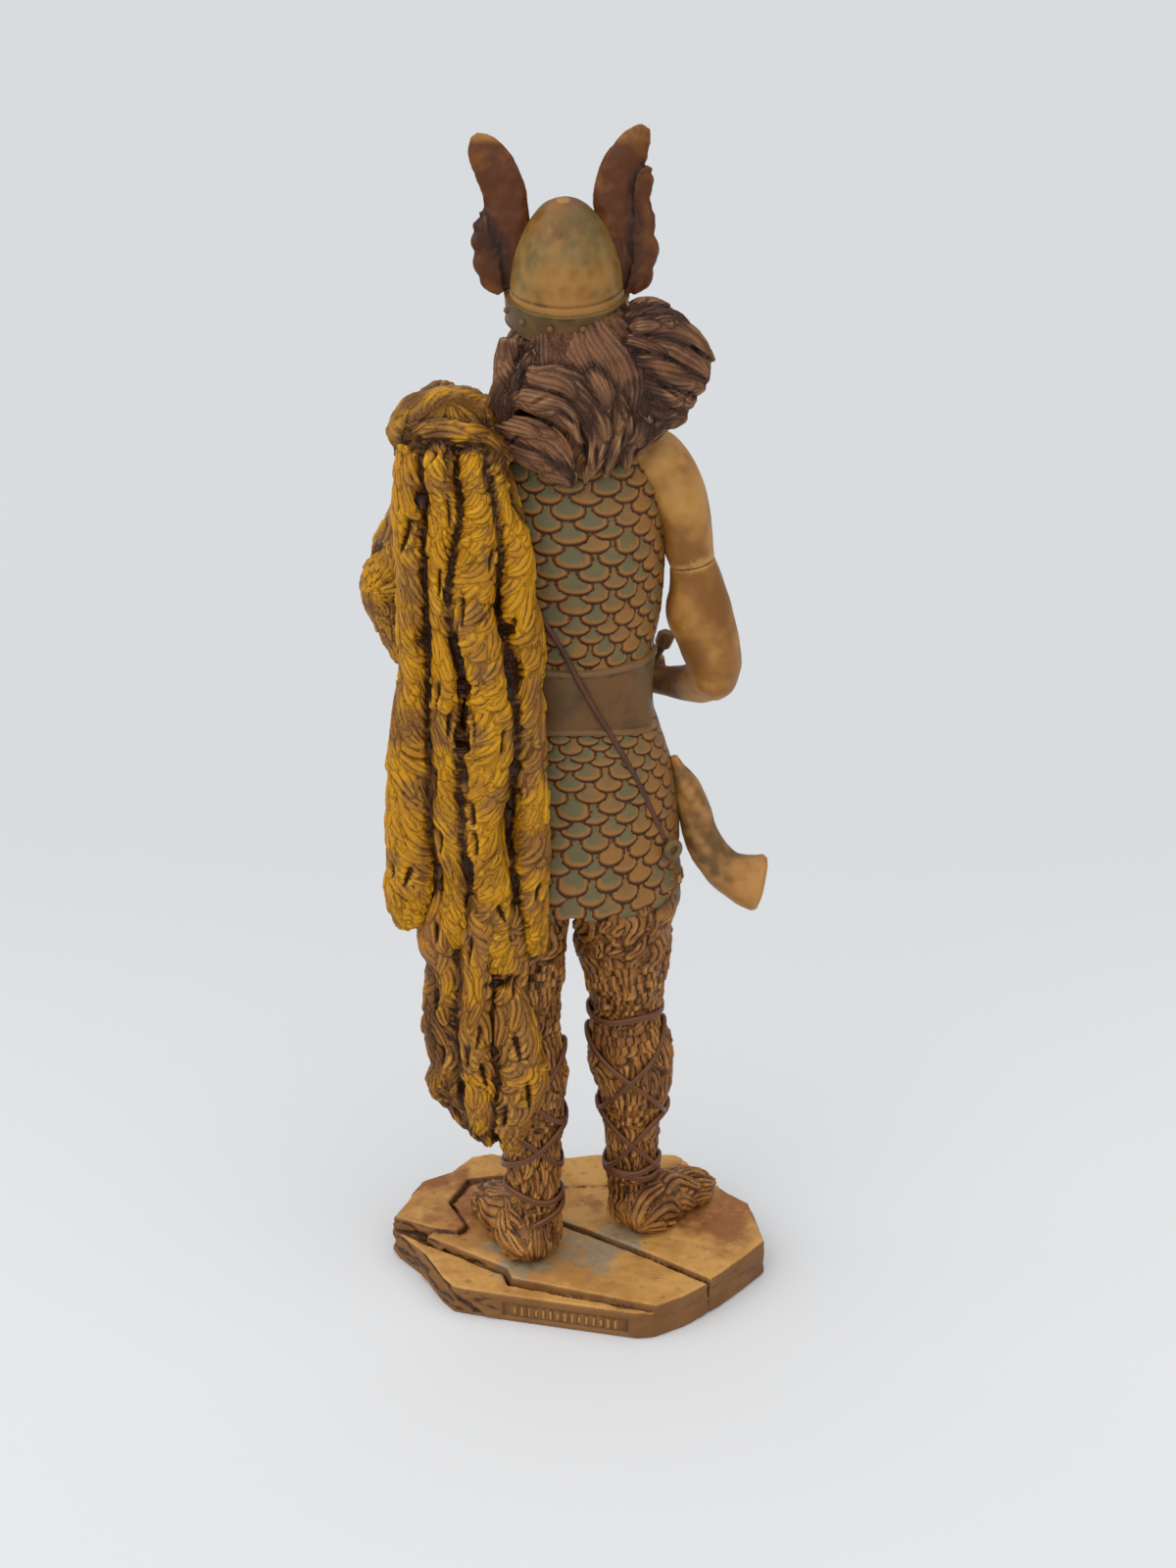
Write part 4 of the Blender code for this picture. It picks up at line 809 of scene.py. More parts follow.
ELBOW_DRAPE = [         # the cloak hangs over the left elbow in a point
    (34.5, 1, 216, 5.4, 8.0),
    (39.2, -1, 203, 6.0, 10.0),
    (42.0, -4, 191.5, 6.2, 10.5),
    (46.0, -6, 182, 8.6, 10.0),
    (45.2, -4.6, 175, 5.9, 8.4),
    (43.6, -1, 169, 4.4, 6.6),
    (42.2, 3, 165, 2.2, 3.4),
]
SHOULDER_ROLL = [       # gathered over the shoulder, seen from behind from the hair to the arm
    (17.5, 3, 225.6, 4.0, 3.4),
    (23.5, 3, 227.2, 8.4, 6.4),
    (30.5, 1, 228.0, 10.6, 6.9),
    (37.5, -1, 226.4, 10.6, 6.7),
    (43.0, -3, 221.2, 6.4, 4.6),
]
FRONT_ROLL = [          # over the shoulder and down to the left hand
    (33.0, -4, 227.0, 8.0, 6.0),
    (34.0, -12, 227.5, 6.4, 5.4),
    (33.6, -19, 224.0, 5.0, 4.4),
    (32.6, -24, 218.0, 4.4, 3.8),
    (31.0, -25, 206.0, 4.8, 3.4),
    (29.4, -23.4, 194.0, 4.4, 3.0),
    (28.4, -21.6, 184.0, 1.8, 1.6),
]
RIGHT_SHOULDER = [
    (-14.0, -4.0, 219.5, 5.0, 8.0),
    (-19.8, -4.0, 215.2, 7.2, 8.8),
    (-24.2, -4.0, 208.0, 7.2, 8.4),
    (-26.8, -4.0, 200.0, 6.5, 7.6),
    (-27.8, -4.0, 193.5, 6.2, 7.0),
    (-28.8, -4.0, 189.2, 5.7, 6.5),
]
RIGHT_ARM = [
    (-30.2, -4.0, 182.4, 6.8, 7.2),
    (-31.2, -4.2, 175.5, 8.0, 7.9),
    (-33.3, -4.8, 168.5, 7.7, 7.5),
    (-35.0, -5.4, 161.0, 6.8, 6.8),
    (-34.8, -5.6, 155.5, 5.4, 5.6),
    (-34.4, -5.6, 152.2, 2.0, 2.2),
]
FOREARM = [
    (-36.4, -3.2, 157.6, 3.0, 3.4),
    (-34.6, -8.0, 156.8, 5.8, 5.8),
    (-31.0, -13.5, 153.6, 5.3, 5.2),
    (-26.8, -18.0, 152.0, 4.4, 4.6),
    (-22.6, -21.2, 151.4, 3.8, 4.2),
    (-18.5, -23.4, 151.4, 3.7, 4.1),
]
RIGHT_FIST = [
    (-20.0, -23.4, 156.0, 2.6, 3.0),
    (-17.6, -24.4, 154.0, 4.6, 5.0),
    (-15.6, -25.0, 150.6, 5.0, 5.4),
    (-14.4, -25.2, 147.4, 2.8, 3.2),
]
GRIP = [                # a short hilt in the fist, its rounded pommel behind
    (-23.3, -20.6, 165.0, 1.3, 1.3),
    (-23.0, -20.8, 163.8, 2.3, 2.3),
    (-22.2, -21.2, 161.6, 2.2, 2.2),
    (-21.6, -21.6, 160.4, 1.4, 1.4),
    (-16.2, -24.8, 151.0, 1.5, 1.5),
    (-12.0, -27.2, 143.6, 1.5, 1.5),
]
LEFT_ARM = [
    (20.0, -5.0, 219.0, 6.0, 8.0),
    (27.6, -6.0, 214.6, 8.0, 8.8),
    (34.0, -8.6, 206.0, 7.6, 8.0),
    (40.0, -11.6, 196.0, 6.8, 7.2),
    (45.2, -14.4, 187.0, 6.4, 6.8),
    (47.4, -15.6, 182.4, 3.2, 3.4),
]
LEFT_FOREARM = [
    (48.2, -13.6, 182.4, 3.6, 3.8),
    (47.2, -17.4, 187.4, 5.8, 5.8),
    (44.2, -20.6, 196.0, 5.6, 5.4),
    (40.2, -23.0, 206.0, 4.6, 4.6),
    (36.6, -24.6, 214.6, 3.7, 4.1),
]
LEFT_FIST = [
    (38.6, -24.4, 214.0, 2.8, 3.0),
    (35.6, -25.4, 218.0, 4.8, 4.8),
    (32.6, -26.0, 221.6, 4.8, 4.6),
    (30.4, -25.6, 223.6, 2.6, 2.8),
]
RIGHT_LEG = [
    (-11.5, -4.0, 108, 12.0, 12.8),
    (-11.8, -4.0, 98, 12.8, 13.2),
    (-12.2, -4.2, 85, 12.8, 12.8),
    (-12.9, -4.8, 74, 10.8, 11.0),
    (-12.7, -5.2, 64, 9.1, 9.6),
    (-14.3, -4.8, 51, 11.4, 11.4),
    (-15.3, -4.4, 41, 9.9, 10.2),
    (-14.7, -4.4, 32, 8.0, 8.5),
    (-14.7, -4.5, 23, 7.2, 7.7),
    (-14.8, -4.6, 14, 6.5, 7.2),
    (-15.2, -4.8, 2, 6.6, 7.2),
]
LEFT_LEG = [
    (13.0, -2.5, 108, 12.0, 12.8),
    (14.0, -1.5, 98, 12.6, 13.2),
    (15.4, 0.0, 85, 12.4, 12.8),
    (14.9, 2.0, 74, 10.6, 11.0),
    (13.8, 3.2, 63, 9.1, 9.6),
    (13.7, 5.0, 50, 11.2, 11.4),
    (13.2, 6.4, 40, 9.6, 10.2),
    (12.4, 7.6, 31, 7.9, 8.5),
    (12.0, 8.3, 21, 6.9, 7.7),
    (11.4, 8.8, 12, 6.8, 7.4),
    (11.2, 9.0, 1, 6.8, 7.4),
]
FOOT = [                # along the boot: share of its length, half width, height
    (0.00, 2.6, 5.4),
    (0.06, 5.8, 9.6),
    (0.17, 7.6, 13.4),
    (0.34, 7.8, 14.4),
    (0.56, 7.8, 11.4),
    (0.78, 8.0, 8.8),
    (0.93, 6.2, 6.6),
    (1.00, 2.8, 4.0),
]
SOLE_SINK = 0.62        # a boot's middle line, as a share of its half height
HORN_LINE = [
    (-24.8, -2.6, 137.4, 0.9, 0.9),
    (-26.0, -2.8, 134.0, 2.0, 2.0),
    (-28.3, -3.0, 129.0, 3.5, 3.5),
    (-30.2, -3.2, 122.5, 4.2, 4.2),
    (-32.2, -3.4, 115.2, 4.5, 4.5),
    (-35.4, -3.6, 108.8, 4.9, 4.9),
    (-39.6, -3.8, 104.4, 5.7, 5.7),
    (-44.2, -3.9, 102.2, 7.0, 7.0),
    (-46.8, -3.9, 101.4, 7.6, 7.6),
    (-48.0, -3.9, 101.1, 7.0, 7.0),
]


# Armour

TORSO_SCALES = (16, 26)     # scales in a row, and rows from the collar to the belt
SKIRT_SCALES = (18, 19)
SCALE_RISE = 1.0        # how far a scale's lip stands over the next row
SCALE_HALF = 0.45       # half a scale's width, as a share of the distance to the next in its row
SCALE_DROP = 0.96       # how far its round end reaches down, in rows


def scales(columns, rows, seed):
    """Overlapping fish scales: (height, tint, distance from the lip) at places round and along."""
    draw = np.random.default_rng(seed)
    tints = draw.uniform(0, 1, (rows + 4, columns + 1))
    tilts = draw.normal(0, 0.15, (rows + 4, columns + 1))
    slips = draw.normal(0, 0.035, (rows + 4, columns + 1))

    def read(turn, share):
        column = turned(turn) * columns + 0.10 * np.sin(turn * 3 + share * 9)
        row = share * rows + 0.35 * np.sin(turn * 2 + 1.3)
        height = np.zeros_like(row)
        tint = np.zeros_like(row)
        inner = np.zeros_like(row)
        open_still = np.ones(row.shape, bool)
        for back in (-2, -1, 0, 1):
            own = np.floor(row) + back
            shifted = column - 0.5 * (own % 2)
            number = np.floor(shifted + 0.5)
            key = (own.astype(int) + 2).clip(0, rows + 3), number.astype(int) % columns
            x = (shifted - number - slips[key]) / SCALE_HALF
            reach = np.sqrt(np.maximum(1 - x * x, 0))
            lip = own + 0.85 + tilts[key] + SCALE_DROP * reach
            here = open_still & (row < lip) & (np.abs(x) < 1)
            deep = np.minimum(lip - row, 2.0)
            body = SCALE_RISE * (1 - 0.36 * deep) * (0.15 + 0.85 * smooth_step(deep, 0.0, 0.4))
            body = body * (1 - 0.7 * x**4)
            height = np.where(here, body, height)
            tint = np.where(here, tints[key], tint)
            inner = np.where(here, smooth_step(np.minimum(deep, 1.5 * (1 - np.abs(x))), 0.0, 0.9), inner)
            open_still &= ~here
        faded = 1 - 0.75 * smooth_step(-np.cos(turn), 0.86, 0.98)
        return (height - 0.35) * faded, tint, inner
    return read


def hem_dip(turn, share):
    """The skirt hangs lowest at the middle of the back and rises at the sides."""
    drop = (5.4 * np.abs(np.sin(turn)) - 3.2) * share**3
    tips = 0.8 * share**24 * np.cos(turn * SKIRT_SCALES[0])
    right = -2.5 * np.clip(-np.cos(turn), 0, 1) ** 2 * np.sin(np.pi * np.clip(share * 1.15, 0, 1))
    return np.stack([right, 0 * turn, -drop - tips], 1)


def belt_spread(turn, share):
    """The belt is tallest over the hips."""
    hip = np.cos(turn) ** 2
    return np.stack([0 * turn, 0 * turn, hip * (2.6 - 4.7 * share)], 1)


def scaled_shirt(name, rows, counts, around, along, square, seed, bend=None):
    """A sleeve of armour with its scales raised, and marked for the paint."""
    read = scales(*counts, seed)
    mesh = swept(rows, around, along, square=square, bend=bend,
                 relief=lambda turn, share: read(turn, share)[0],
                 traits={"tint": lambda turn, share: read(turn, share)[1],
                         "crown": lambda turn, share: read(turn, share)[2]})
    grooved(mesh, 7, 0.2)
    cast(name, mesh, ARMOUR_PAINT)


def on_armour(x, z, way):
    """The depth of the armour's back (way 1) or front (-1) at a place across and up."""
    rows = TORSO if z >= TORSO[-1][2] else SKIRT
    heights = np.array([row[2] for row in rows], float)
    share = np.interp(-z, -heights, np.linspace(0, 1, len(rows)))
    middle_x, middle_y, _, half_width, half_depth = along_rows(rows, [share])[0]
    if BELT[-1][2] < z < BELT[0][2]:
        half_width, half_depth = BELT[1][3] + 0.2, BELT[1][4] + 0.2
    across = min(abs(x - middle_x) / half_width, 0.97)
    return middle_y + way * (half_depth + 0.45) * math.sqrt(1 - across**2)


def baldric(name, line, way):
    """The strap down one side of the armour."""
    rows = [(x, on_armour(x, z, way) + way * (0.55 + 1.3 * smooth_step(-x, 8, 24)), z, 0.72, 0.72)
            for x, z in line]
    mesh = swept(rows, 10, 90, side=(0, 1, 0))
    cast(name, mesh, STRAP_PAINT)


RING_SHIFT = (-1.2, 1.0, 0)         # the ring lies on the scales, which stand off the solid


def wire_ring():
    """The baldric's lower ring, hanging against the hip."""
    form = bmesh.new()
    wire = bmesh.ops.create_circle(form, segments=16, radius=RING_WIRE * 1.15)["verts"]
    for vertex in wire:
        vertex.co = (RING_RADIUS + vertex.co.x, vertex.co.y, 0)
    bmesh.ops.spin(form, geom=form.verts[:] + form.edges[:], cent=(0, 0, 0), axis=(0, 1, 0),
                   angle=2 * math.pi, steps=40, use_merge=True)
    bmesh.ops.remove_doubles(form, verts=form.verts, dist=1e-4)
    bmesh.ops.recalc_face_normals(form, faces=form.faces)
    bmesh.ops.rotate(form, verts=form.verts, cent=(0, 0, 0), matrix=Matrix.Rotation(RING_TURN, 3, "Z"))
    bmesh.ops.translate(form, verts=form.verts, vec=Vector(RING_MIDDLE) + Vector(RING_SHIFT))
    mesh = mesh_of(form)
    cast("strap_ring", mesh, RING_PAINT)


def belt_relief(turn, share):
    rim = smooth_step(np.abs(share - 0.5), 0.40, 0.44) * (1 - smooth_step(np.abs(share - 0.5), 0.485, 0.5))
    dents = np.sin(turn * 5 + 1.0) * 0.12 + np.sin(turn * 11 + share * 4) * 0.06
    return 0.28 * rim + dents


def armour():
    scaled_shirt("torso_scales", TORSO, TORSO_SCALES, 360, 230, 0.92, 3)
    scaled_shirt("skirt_scales", SKIRT, SKIRT_SCALES, 380, 170, 0.95, 5, hem_dip)
    belt = swept(BELT, 200, 60, square=0.92, bend=belt_spread, relief=belt_relief)
    roughened(belt, 5.0, 0.12)
    grooved(belt, 8, 0.12)
    cast("belt", belt, BELT_PAINT)
    buckle = swept(BUCKLE, 40, 16, side=(0, 0, 1), square=0.6)
    cast("buckle", buckle, HELMET_PAINT)
    baldric("strap_back", BALDRIC_BACK, 1)
    baldric("strap_front", BALDRIC_FRONT, -1)
    wire_ring()


# Head, helmet and wings

FACE_MIDDLE = 2.1       # the head turns a little to the figure's left
LIPS = [(-2.6, -21.6, 235.9, 0.5, 0.5), (0.0, -23.0, 235.6, 1.1, 1.0), (2.6, -21.6, 235.9, 0.5, 0.5)]
CHEEK = [(6.0, -17.4, 245.6, 1.2, 1.2), (6.4, -17.0, 243.0, 2.6, 2.4), (5.8, -16.8, 239.6, 1.2, 1.2)]
LID = [(2.4, -21.0, 247.2, 0.35, 0.4), (4.3, -21.5, 248.5, 0.5, 0.55), (6.4, -20.2, 247.2, 0.35, 0.4)]
RIM_TILT = 0.21         # how much the helmet's band rises towards the face
RIVETS = 12
BEARD_LOCKS = {"long": 12, "wide": 3.4, "lift": 0.9, "curl": 0.5, "waves": 0.3}
FACE_HAIRS = {"long": 5, "wide": 2.0, "lift": 0.4, "strands": 2, "curl": 0.2}
BARBS = {"long": 15.0, "wide": 3.0, "lift": 0.3, "strands": 2, "curl": 0.1, "scatter": 0.06, "spacing": 0.4}


def own_side(rows):
    return [(FACE_MIDDLE + x, *rest) for x, *rest in rows]


def other_side(rows):
    return [(FACE_MIDDLE - x, *rest) for x, *rest in rows]


def paired(rows, around, along, side=(1, 0, 0)):
    return [swept(own_side(rows), around, along, side), swept(other_side(rows), around, along, side)]


def head():
    forms = [swept(HEAD, 64, 50), swept(NOSE, 24, 24), swept(own_side(LIPS), 20, 16, (0, 0, 1)),
             *paired(CHEEK, 24, 16), *paired(EYE, 20, 16), *paired(LID, 12, 16, (0, 0, 1))]
    mesh = melted(forms, 0.42, 3)
    grooved(mesh, 10, 0.2)
    cast("head", mesh, SKIN_PAINT)
    sides = (own_side(MOUSTACHE), other_side(MOUSTACHE), own_side(BROW), other_side(BROW))
    layers = [form_of(BEARD), *(form_of(rows, (0, 0, 1)) for rows in sides)]
    coats = [coat(layers[0], 11, **BEARD_LOCKS)]
    coats += [coat(layer, 12 + number, **FACE_HAIRS) for number, layer in enumerate(layers[1:])]
    beard = melted([swept(layer["rows"], 48, 40, layer["side"]) for layer in layers], 0.4, 1)
    cast("beard", combed(beard, layers, coats, 0.8, 0.2), HAIR_PAINT)


def dome_relief(turn, share):
    """A line pressed round the helmet just above its band."""
    return -0.2 * np.exp(-((share - 0.93) / 0.012) ** 2)


def rim_relief(turn, share):
    edge = smooth_step(np.abs(share - 0.5), 0.27, 0.32) * (1 - smooth_step(np.abs(share - 0.5), 0.42, 0.5))
    return 0.45 * edge + 0.08 * np.sin(turn * 9)


def rivet(x, y, z):
    form = bmesh.new()
    bmesh.ops.create_uvsphere(form, u_segments=14, v_segments=10, radius=0.8)
    bmesh.ops.translate(form, verts=form.verts, vec=(x, y, z))
    return mesh_of(form)


def helmet():
    dome = roughened(swept(DOME, 140, 90, relief=dome_relief), 7.0, 0.16)
    grooved(dome, 14, 0.12)
    cast("helmet", dome, HELMET_PAINT)
    rim = roughened(swept(RIM, 140, 40, relief=rim_relief), 4.0, 0.08)
    rivets = []
    for count in range(RIVETS):
        angle = 2 * math.pi * (count + 0.5) / RIVETS
        back = math.sin(angle) * RIM[1][4]
        rivets.append(rivet(RIM[1][0] + math.cos(angle) * RIM[1][3], (RIM[1][1] + RIM[2][1]) / 2 + back,
                            (RIM[1][2] + RIM[2][2]) / 2 - back * RIM_TILT))
    band = joined([rim, *rivets])
    grooved(band, 8, 0.12)
    cast("helmet_band", band, BAND_PAINT)
    for side in ("left", "right"):
        out = 1 if side == "left" else -1
        names = [name for name in WINGS if name.startswith(side)]
        blades = [form_of(WINGS[name]) for name in names]

        def scalloped(turn, share):
            edge = np.clip(np.cos(turn) * out, 0, 1) ** 2
            return 0.9 * (np.abs(np.sin(share * math.pi * 4.5)) - 0.6) * edge

        def waisted(turn, share):
            return -2.0 * np.exp(-((share - 0.5) / 0.24) ** 2) * np.clip(np.cos(turn) * out, 0, 1)

        meshes = [swept(blade["rows"], 56, 90, square=0.8, relief=scalloped if "lower" in name else waisted)
                  for name, blade in zip(names, blades)]
        coats = [coat(blade, 20 + number, **BARBS,
                      lean=lambda turn, share: np.sin(turn) * out * (0.15 + 0.35 * share))
                 for number, blade in enumerate(blades)]
        mesh = combed(melted(meshes, 0.36, 3), blades, coats, 1.0, 0.25, 3.0, lumps=(3.5, 0.3), shade=0.5)
        mark(mesh, "tint", smooth_step(places(mesh)[:, 2], 287, 296))
        cast(side + "_wing", mesh, WING_PAINT)


# Hair

LOCKS = [               # middle lines of the locks on the back of the head, from the helmet to the tip
    [(16.2, 6.4, 247.7), (16.8, 7.0, 241.9), (16.1, 8.0, 238.2), (17.5, 7.7, 233.7), (19.8, 6.5, 229.0),
     (20.8, 6.0, 224.7)],
    [(13.1, 8.1, 249.3), (11.9, 9.3, 243.4), (13.5, 9.3, 238.5), (15.8, 8.6, 234.4), (17.2, 8.1, 229.8),
     (15.4, 8.5, 223.6)],
    [(12.9, 9.8, 235.6), (10.8, 10.6, 241.4), (5.7, 12.0, 244.4), (0.3, 13.0, 243.2), (-4.7, 13.5, 238.0),
     (-7.1, 13.6, 232.6), (-5.4, 13.4, 225.7)],
    [(10.0, 8.5, 250.0), (4.0, 10.5, 249.0), (-2.5, 11.6, 246.4), (-7.4, 11.8, 241.0),
     (-10.0, 12.0, 234.6), (-10.6, 12.2, 228.0), (-8.0, 13.0, 221.5)],
    [(16.8, 8.3, 230.7), (13.2, 9.9, 234.6), (8.1, 11.9, 233.6), (2.6, 13.1, 231.4), (-1.2, 13.8, 226.6),
     (-2.6, 13.4, 219.4)],
    [(13.6, 9.4, 240.5), (9.0, 11.0, 238.8), (3.4, 12.2, 238.6), (-1.6, 13.2, 234.4), (-3.4, 13.6, 228.0),
     (-1.0, 13.6, 221.0)],
    [(19.2, 6.9, 226.9), (13.6, 10.0, 226.3), (7.4, 12.3, 224.5), (3.2, 13.4, 220.1), (0.6, 13.4, 213.8)],
    [(18.6, 7.2, 223.4), (12.1, 10.6, 220.9), (5.8, 12.5, 218.6), (2.4, 13.0, 215.6), (0.9, 13.0, 212.6)],
    [(1.8, 12.5, 240.5), (-3.2, 13.1, 233.1), (-5.5, 13.1, 226.7), (-4.6, 13.3, 221.2),
     (-1.9, 13.0, 213.6)],
    [(-6.7, 12.0, 241.1), (-9.6, 12.0, 232.8), (-10.6, 12.2, 227.2), (-8.4, 12.8, 221.8),
     (-6.9, 12.8, 214.9)],
    [(-11.3, 10.9, 241.9), (-14.9, 10.2, 232.4), (-14.4, 10.9, 226.9), (-11.4, 12.1, 222.8),
     (-12.1, 11.7, 215.5)],
    [(-13.4, 9.4, 243.9), (-18.2, 8.6, 235.8), (-19.0, 8.6, 229.2), (-16.3, 9.7, 224.2),
     (-14.0, 10.9, 219.4)],
    [(-9.1, 2.4, 251.0), (-14.6, 3.6, 253.0), (-18.3, 4.2, 254.0), (-22.6, 4.6, 254.9)],
    [(-10.1, 5.0, 250.0), (-17.9, 5.8, 251.8), (-23.3, 5.8, 250.8), (-28.4, 5.6, 247.4)],
    [(-11.5, 7.8, 250.2), (-20.3, 7.0, 250.3), (-26.9, 6.4, 247.2), (-33.0, 6.0, 241.9)],
    [(-11.9, 8.7, 247.0), (-20.7, 7.6, 245.8), (-26.2, 6.9, 242.6), (-29.7, 6.4, 239.9),
     (-31.6, 6.2, 236.7)],
    [(-10.3, 9.8, 243.6), (-18.8, 8.6, 241.2), (-25.1, 7.4, 237.9), (-28.6, 6.6, 236.1),
     (-31.2, 6.4, 235.4)],
    [(-11.1, 10.4, 240.2), (-18.8, 9.0, 235.8), (-23.6, 7.6, 233.3), (-26.7, 6.8, 232.8),
     (-29.0, 6.4, 233.4)],
    [(-10.3, 11.0, 237.4), (-16.5, 9.7, 231.5), (-20.8, 8.2, 229.2), (-24.6, 7.0, 229.1),
     (-26.7, 6.6, 230.2)],
    [(-9.8, 11.6, 234.6), (-14.0, 10.7, 228.1), (-17.5, 9.4, 225.5), (-22.0, 8.0, 226.5)],
]
LOCK_HALF = [1.6, 2.2, 2.7, 2.8, 2.5, 1.7, 0.35]    # half size of a lock from its root to its tip
BAND_MIDDLE = (2.25, -6.2)      # middle and radius of the helmet's band, which the roots stay within
BAND_RADIUS = 13.8
BAND_FOOT = 245.5
HAIR_HOLES = [          # x, z, tilt, length, width, depth
    (1.9, 230.4, -0.9, 3.2, 0.7, 1.0), (-1.6, 226.4, -0.3, 3.0, 0.8, 1.2),
    (-2.0, 221.6, 0.1, 2.8, 0.7, 1.2), (13.1, 239.2, 0.1, 3.4, 0.6, 1.0),
    (-4.8, 220.8, 0.0, 3.0, 0.7, 1.0), (8.8, 234.4, 1.1, 3.0, 0.5, 0.6),
    (15.2, 224.0, 0.9, 2.6, 0.5, 0.6), (-11.4, 224.8, 0.1, 3.0, 0.6, 0.8),
    (-29.0, 244.6, -0.9, 2.6, 0.5, 0.9), (-22.2, 236.0, -1.0, 3.4, 0.5, 0.7),
]
SIDE_LOCKS = [
    [(12.6, -3.0, 249, 2.4, 4.0), (15.0, -3.6, 242, 3.0, 4.2), (15.6, -5.0, 235, 3.2, 4.2),
     (13.0, -7.0, 227, 2.6, 3.4), (10.5, -9.0, 221, 0.9, 0.9)],
    [(-9.4, -3.0, 252, 3.0, 4.0), (-12.4, -3.6, 244, 3.2, 4.2), (-12.0, -5.0, 235, 3.2, 4.2),
     (-9.4, -7.0, 227, 2.6, 3.4), (-6.6, -9.0, 221, 0.9, 0.9)],
    [(12.8, 1.0, 247, 2.0, 3.0), (16.4, 1.4, 240, 3.0, 3.8), (17.4, 1.4, 233, 3.0, 3.6),
     (15.0, 0.6, 224, 1.0, 1.2)],
    [(-13.0, 1.5, 254, 2.6, 3.6), (-18.6, 2.0, 247, 3.0, 3.8), (-20.0, 2.6, 238, 3.0, 3.6),
     (-17.6, 2.6, 229, 1.0, 1.2)],
]


LOCK_DEPTH = 0.85       # a lock's size out of the head and along it, as shares of its half size
LOCK_SPREAD = 1.35
HAIR_STRANDS = {"long": 22, "wide": 4.4, "lift": 0.6, "strands": 4, "curl": 0.15, "scatter": 0.1,
                "spacing": 0.3, "swirl": 0.2, "swirl_length": 15}


def lock_form(line):
    """A lock of hair along a line, thickest in the middle and pointed at the tip."""
    share = np.linspace(0, 1, 10)
    line = along_rows(line, share)
    half = np.interp(share, np.linspace(0, 1, len(LOCK_HALF)), LOCK_HALF)
    off = np.minimum(np.abs(line[:, 0] - BAND_MIDDLE[0]) / BAND_RADIUS, 1)
    under_band = BAND_MIDDLE[1] + BAND_RADIUS * np.sqrt(1 - off**2) - half * LOCK_DEPTH
    loose = np.where(off < 1, np.maximum(BAND_FOOT - line[:, 2], 0) * 1.2, 99)
    line[:, 1] = np.minimum(line[:, 1], under_band + loose)
    rows = [(*spot, own * LOCK_DEPTH, own * LOCK_SPREAD) for spot, own in zip(line, half)]
    return form_of(rows, (0, 1, 0))


def hair():
    forms = [form_of(HAIR_CORE), *map(lock_form, LOCKS), *map(form_of, SIDE_LOCKS)]
    meshes = [swept(form["rows"], 40, 44, form["side"]) for form in forms]
    coats = [coat(form, 40 + number, **HAIR_STRANDS) for number, form in enumerate(forms)]
    mesh = combed(melted(meshes, 0.36, 14), forms, coats, 1.0, 0.15, 2.2, own_holes=HAIR_HOLES, shade=0.35)
    cast("hair", mesh, HAIR_PAINT)


# Cloak

FOLD_LEAN = [0.85, 0.85, -0.95, -0.95]   # how each fold's tufts slant, in radians
LOWER_LEAN = [0.6, 0.45, -0.55]
FOLD_SHARE = (1, 1, 1, 0.95, 1)          # the folds are narrower here, with open valleys between
FOLD_TOP = 224.5        # they come out from under the gathered cloth
ARM_COVER = [           # the cloak falls over the bent left arm
    (35.6, -12.0, 216, 4.4, 12.0),
    (38.4, -13.4, 206, 5.4, 12.6),
    (42.2, -14.4, 196, 5.8, 12.6),
    (46.2, -13.6, 187, 5.8, 11.0),
    (47.0, -11.0, 180, 4.0, 8.0),
    (46.6, -9.0, 175, 1.6, 3.0),
]
ARM_TUCK = (-2.8, 0, 0, 0, 0)            # the arm lies this much further in than the solids have it
ROLL_TUFTS = 1.45       # on the shoulder roll they run round it
FOLD_TUFTS = {"long": 9.5, "wide": 4.8, "lift": 1.15, "sweep": 1.1, "curl": 0.2, "scatter": 0.12,
              "waves": 0.1, "swirl": 0.18}
DRAPE_TUFTS = {"long": 9.0, "wide": 4.6, "lift": 1.6, "lean": 0.1, "curl": 0.6, "waves": 0.5, "swirl": 0.5}
LOWER_TUFTS = {"long": 12.0, "wide": 5.0, "lift": 1.4, "curl": 0.5, "waves": 0.5, "swirl": 0.5,
               "swirl_length": 30}
FLAP = [                # the end of the roll, hanging behind the shoulder
    (38.4, 1.0, 229.0, 4.0, 4.6),
    (41.0, 1.6, 224.0, 3.3, 4.4),
    (42.2, 2.0, 218.6, 2.5, 3.4),
    (42.0, 2.0, 215.4, 1.4, 2.0),
]
PINCH = [               # gathered cloth between the roll and the folds
    (38.6, 9.0, 225.4, 2.6, 2.8),
    (33.0, 12.6, 226.6, 3.6, 3.4),
    (27.0, 13.6, 226.4, 3.8, 3.6),
    (21.6, 12.4, 223.8, 3.6, 3.4),
    (17.4, 12.6, 218.0, 2.8, 3.0),
]
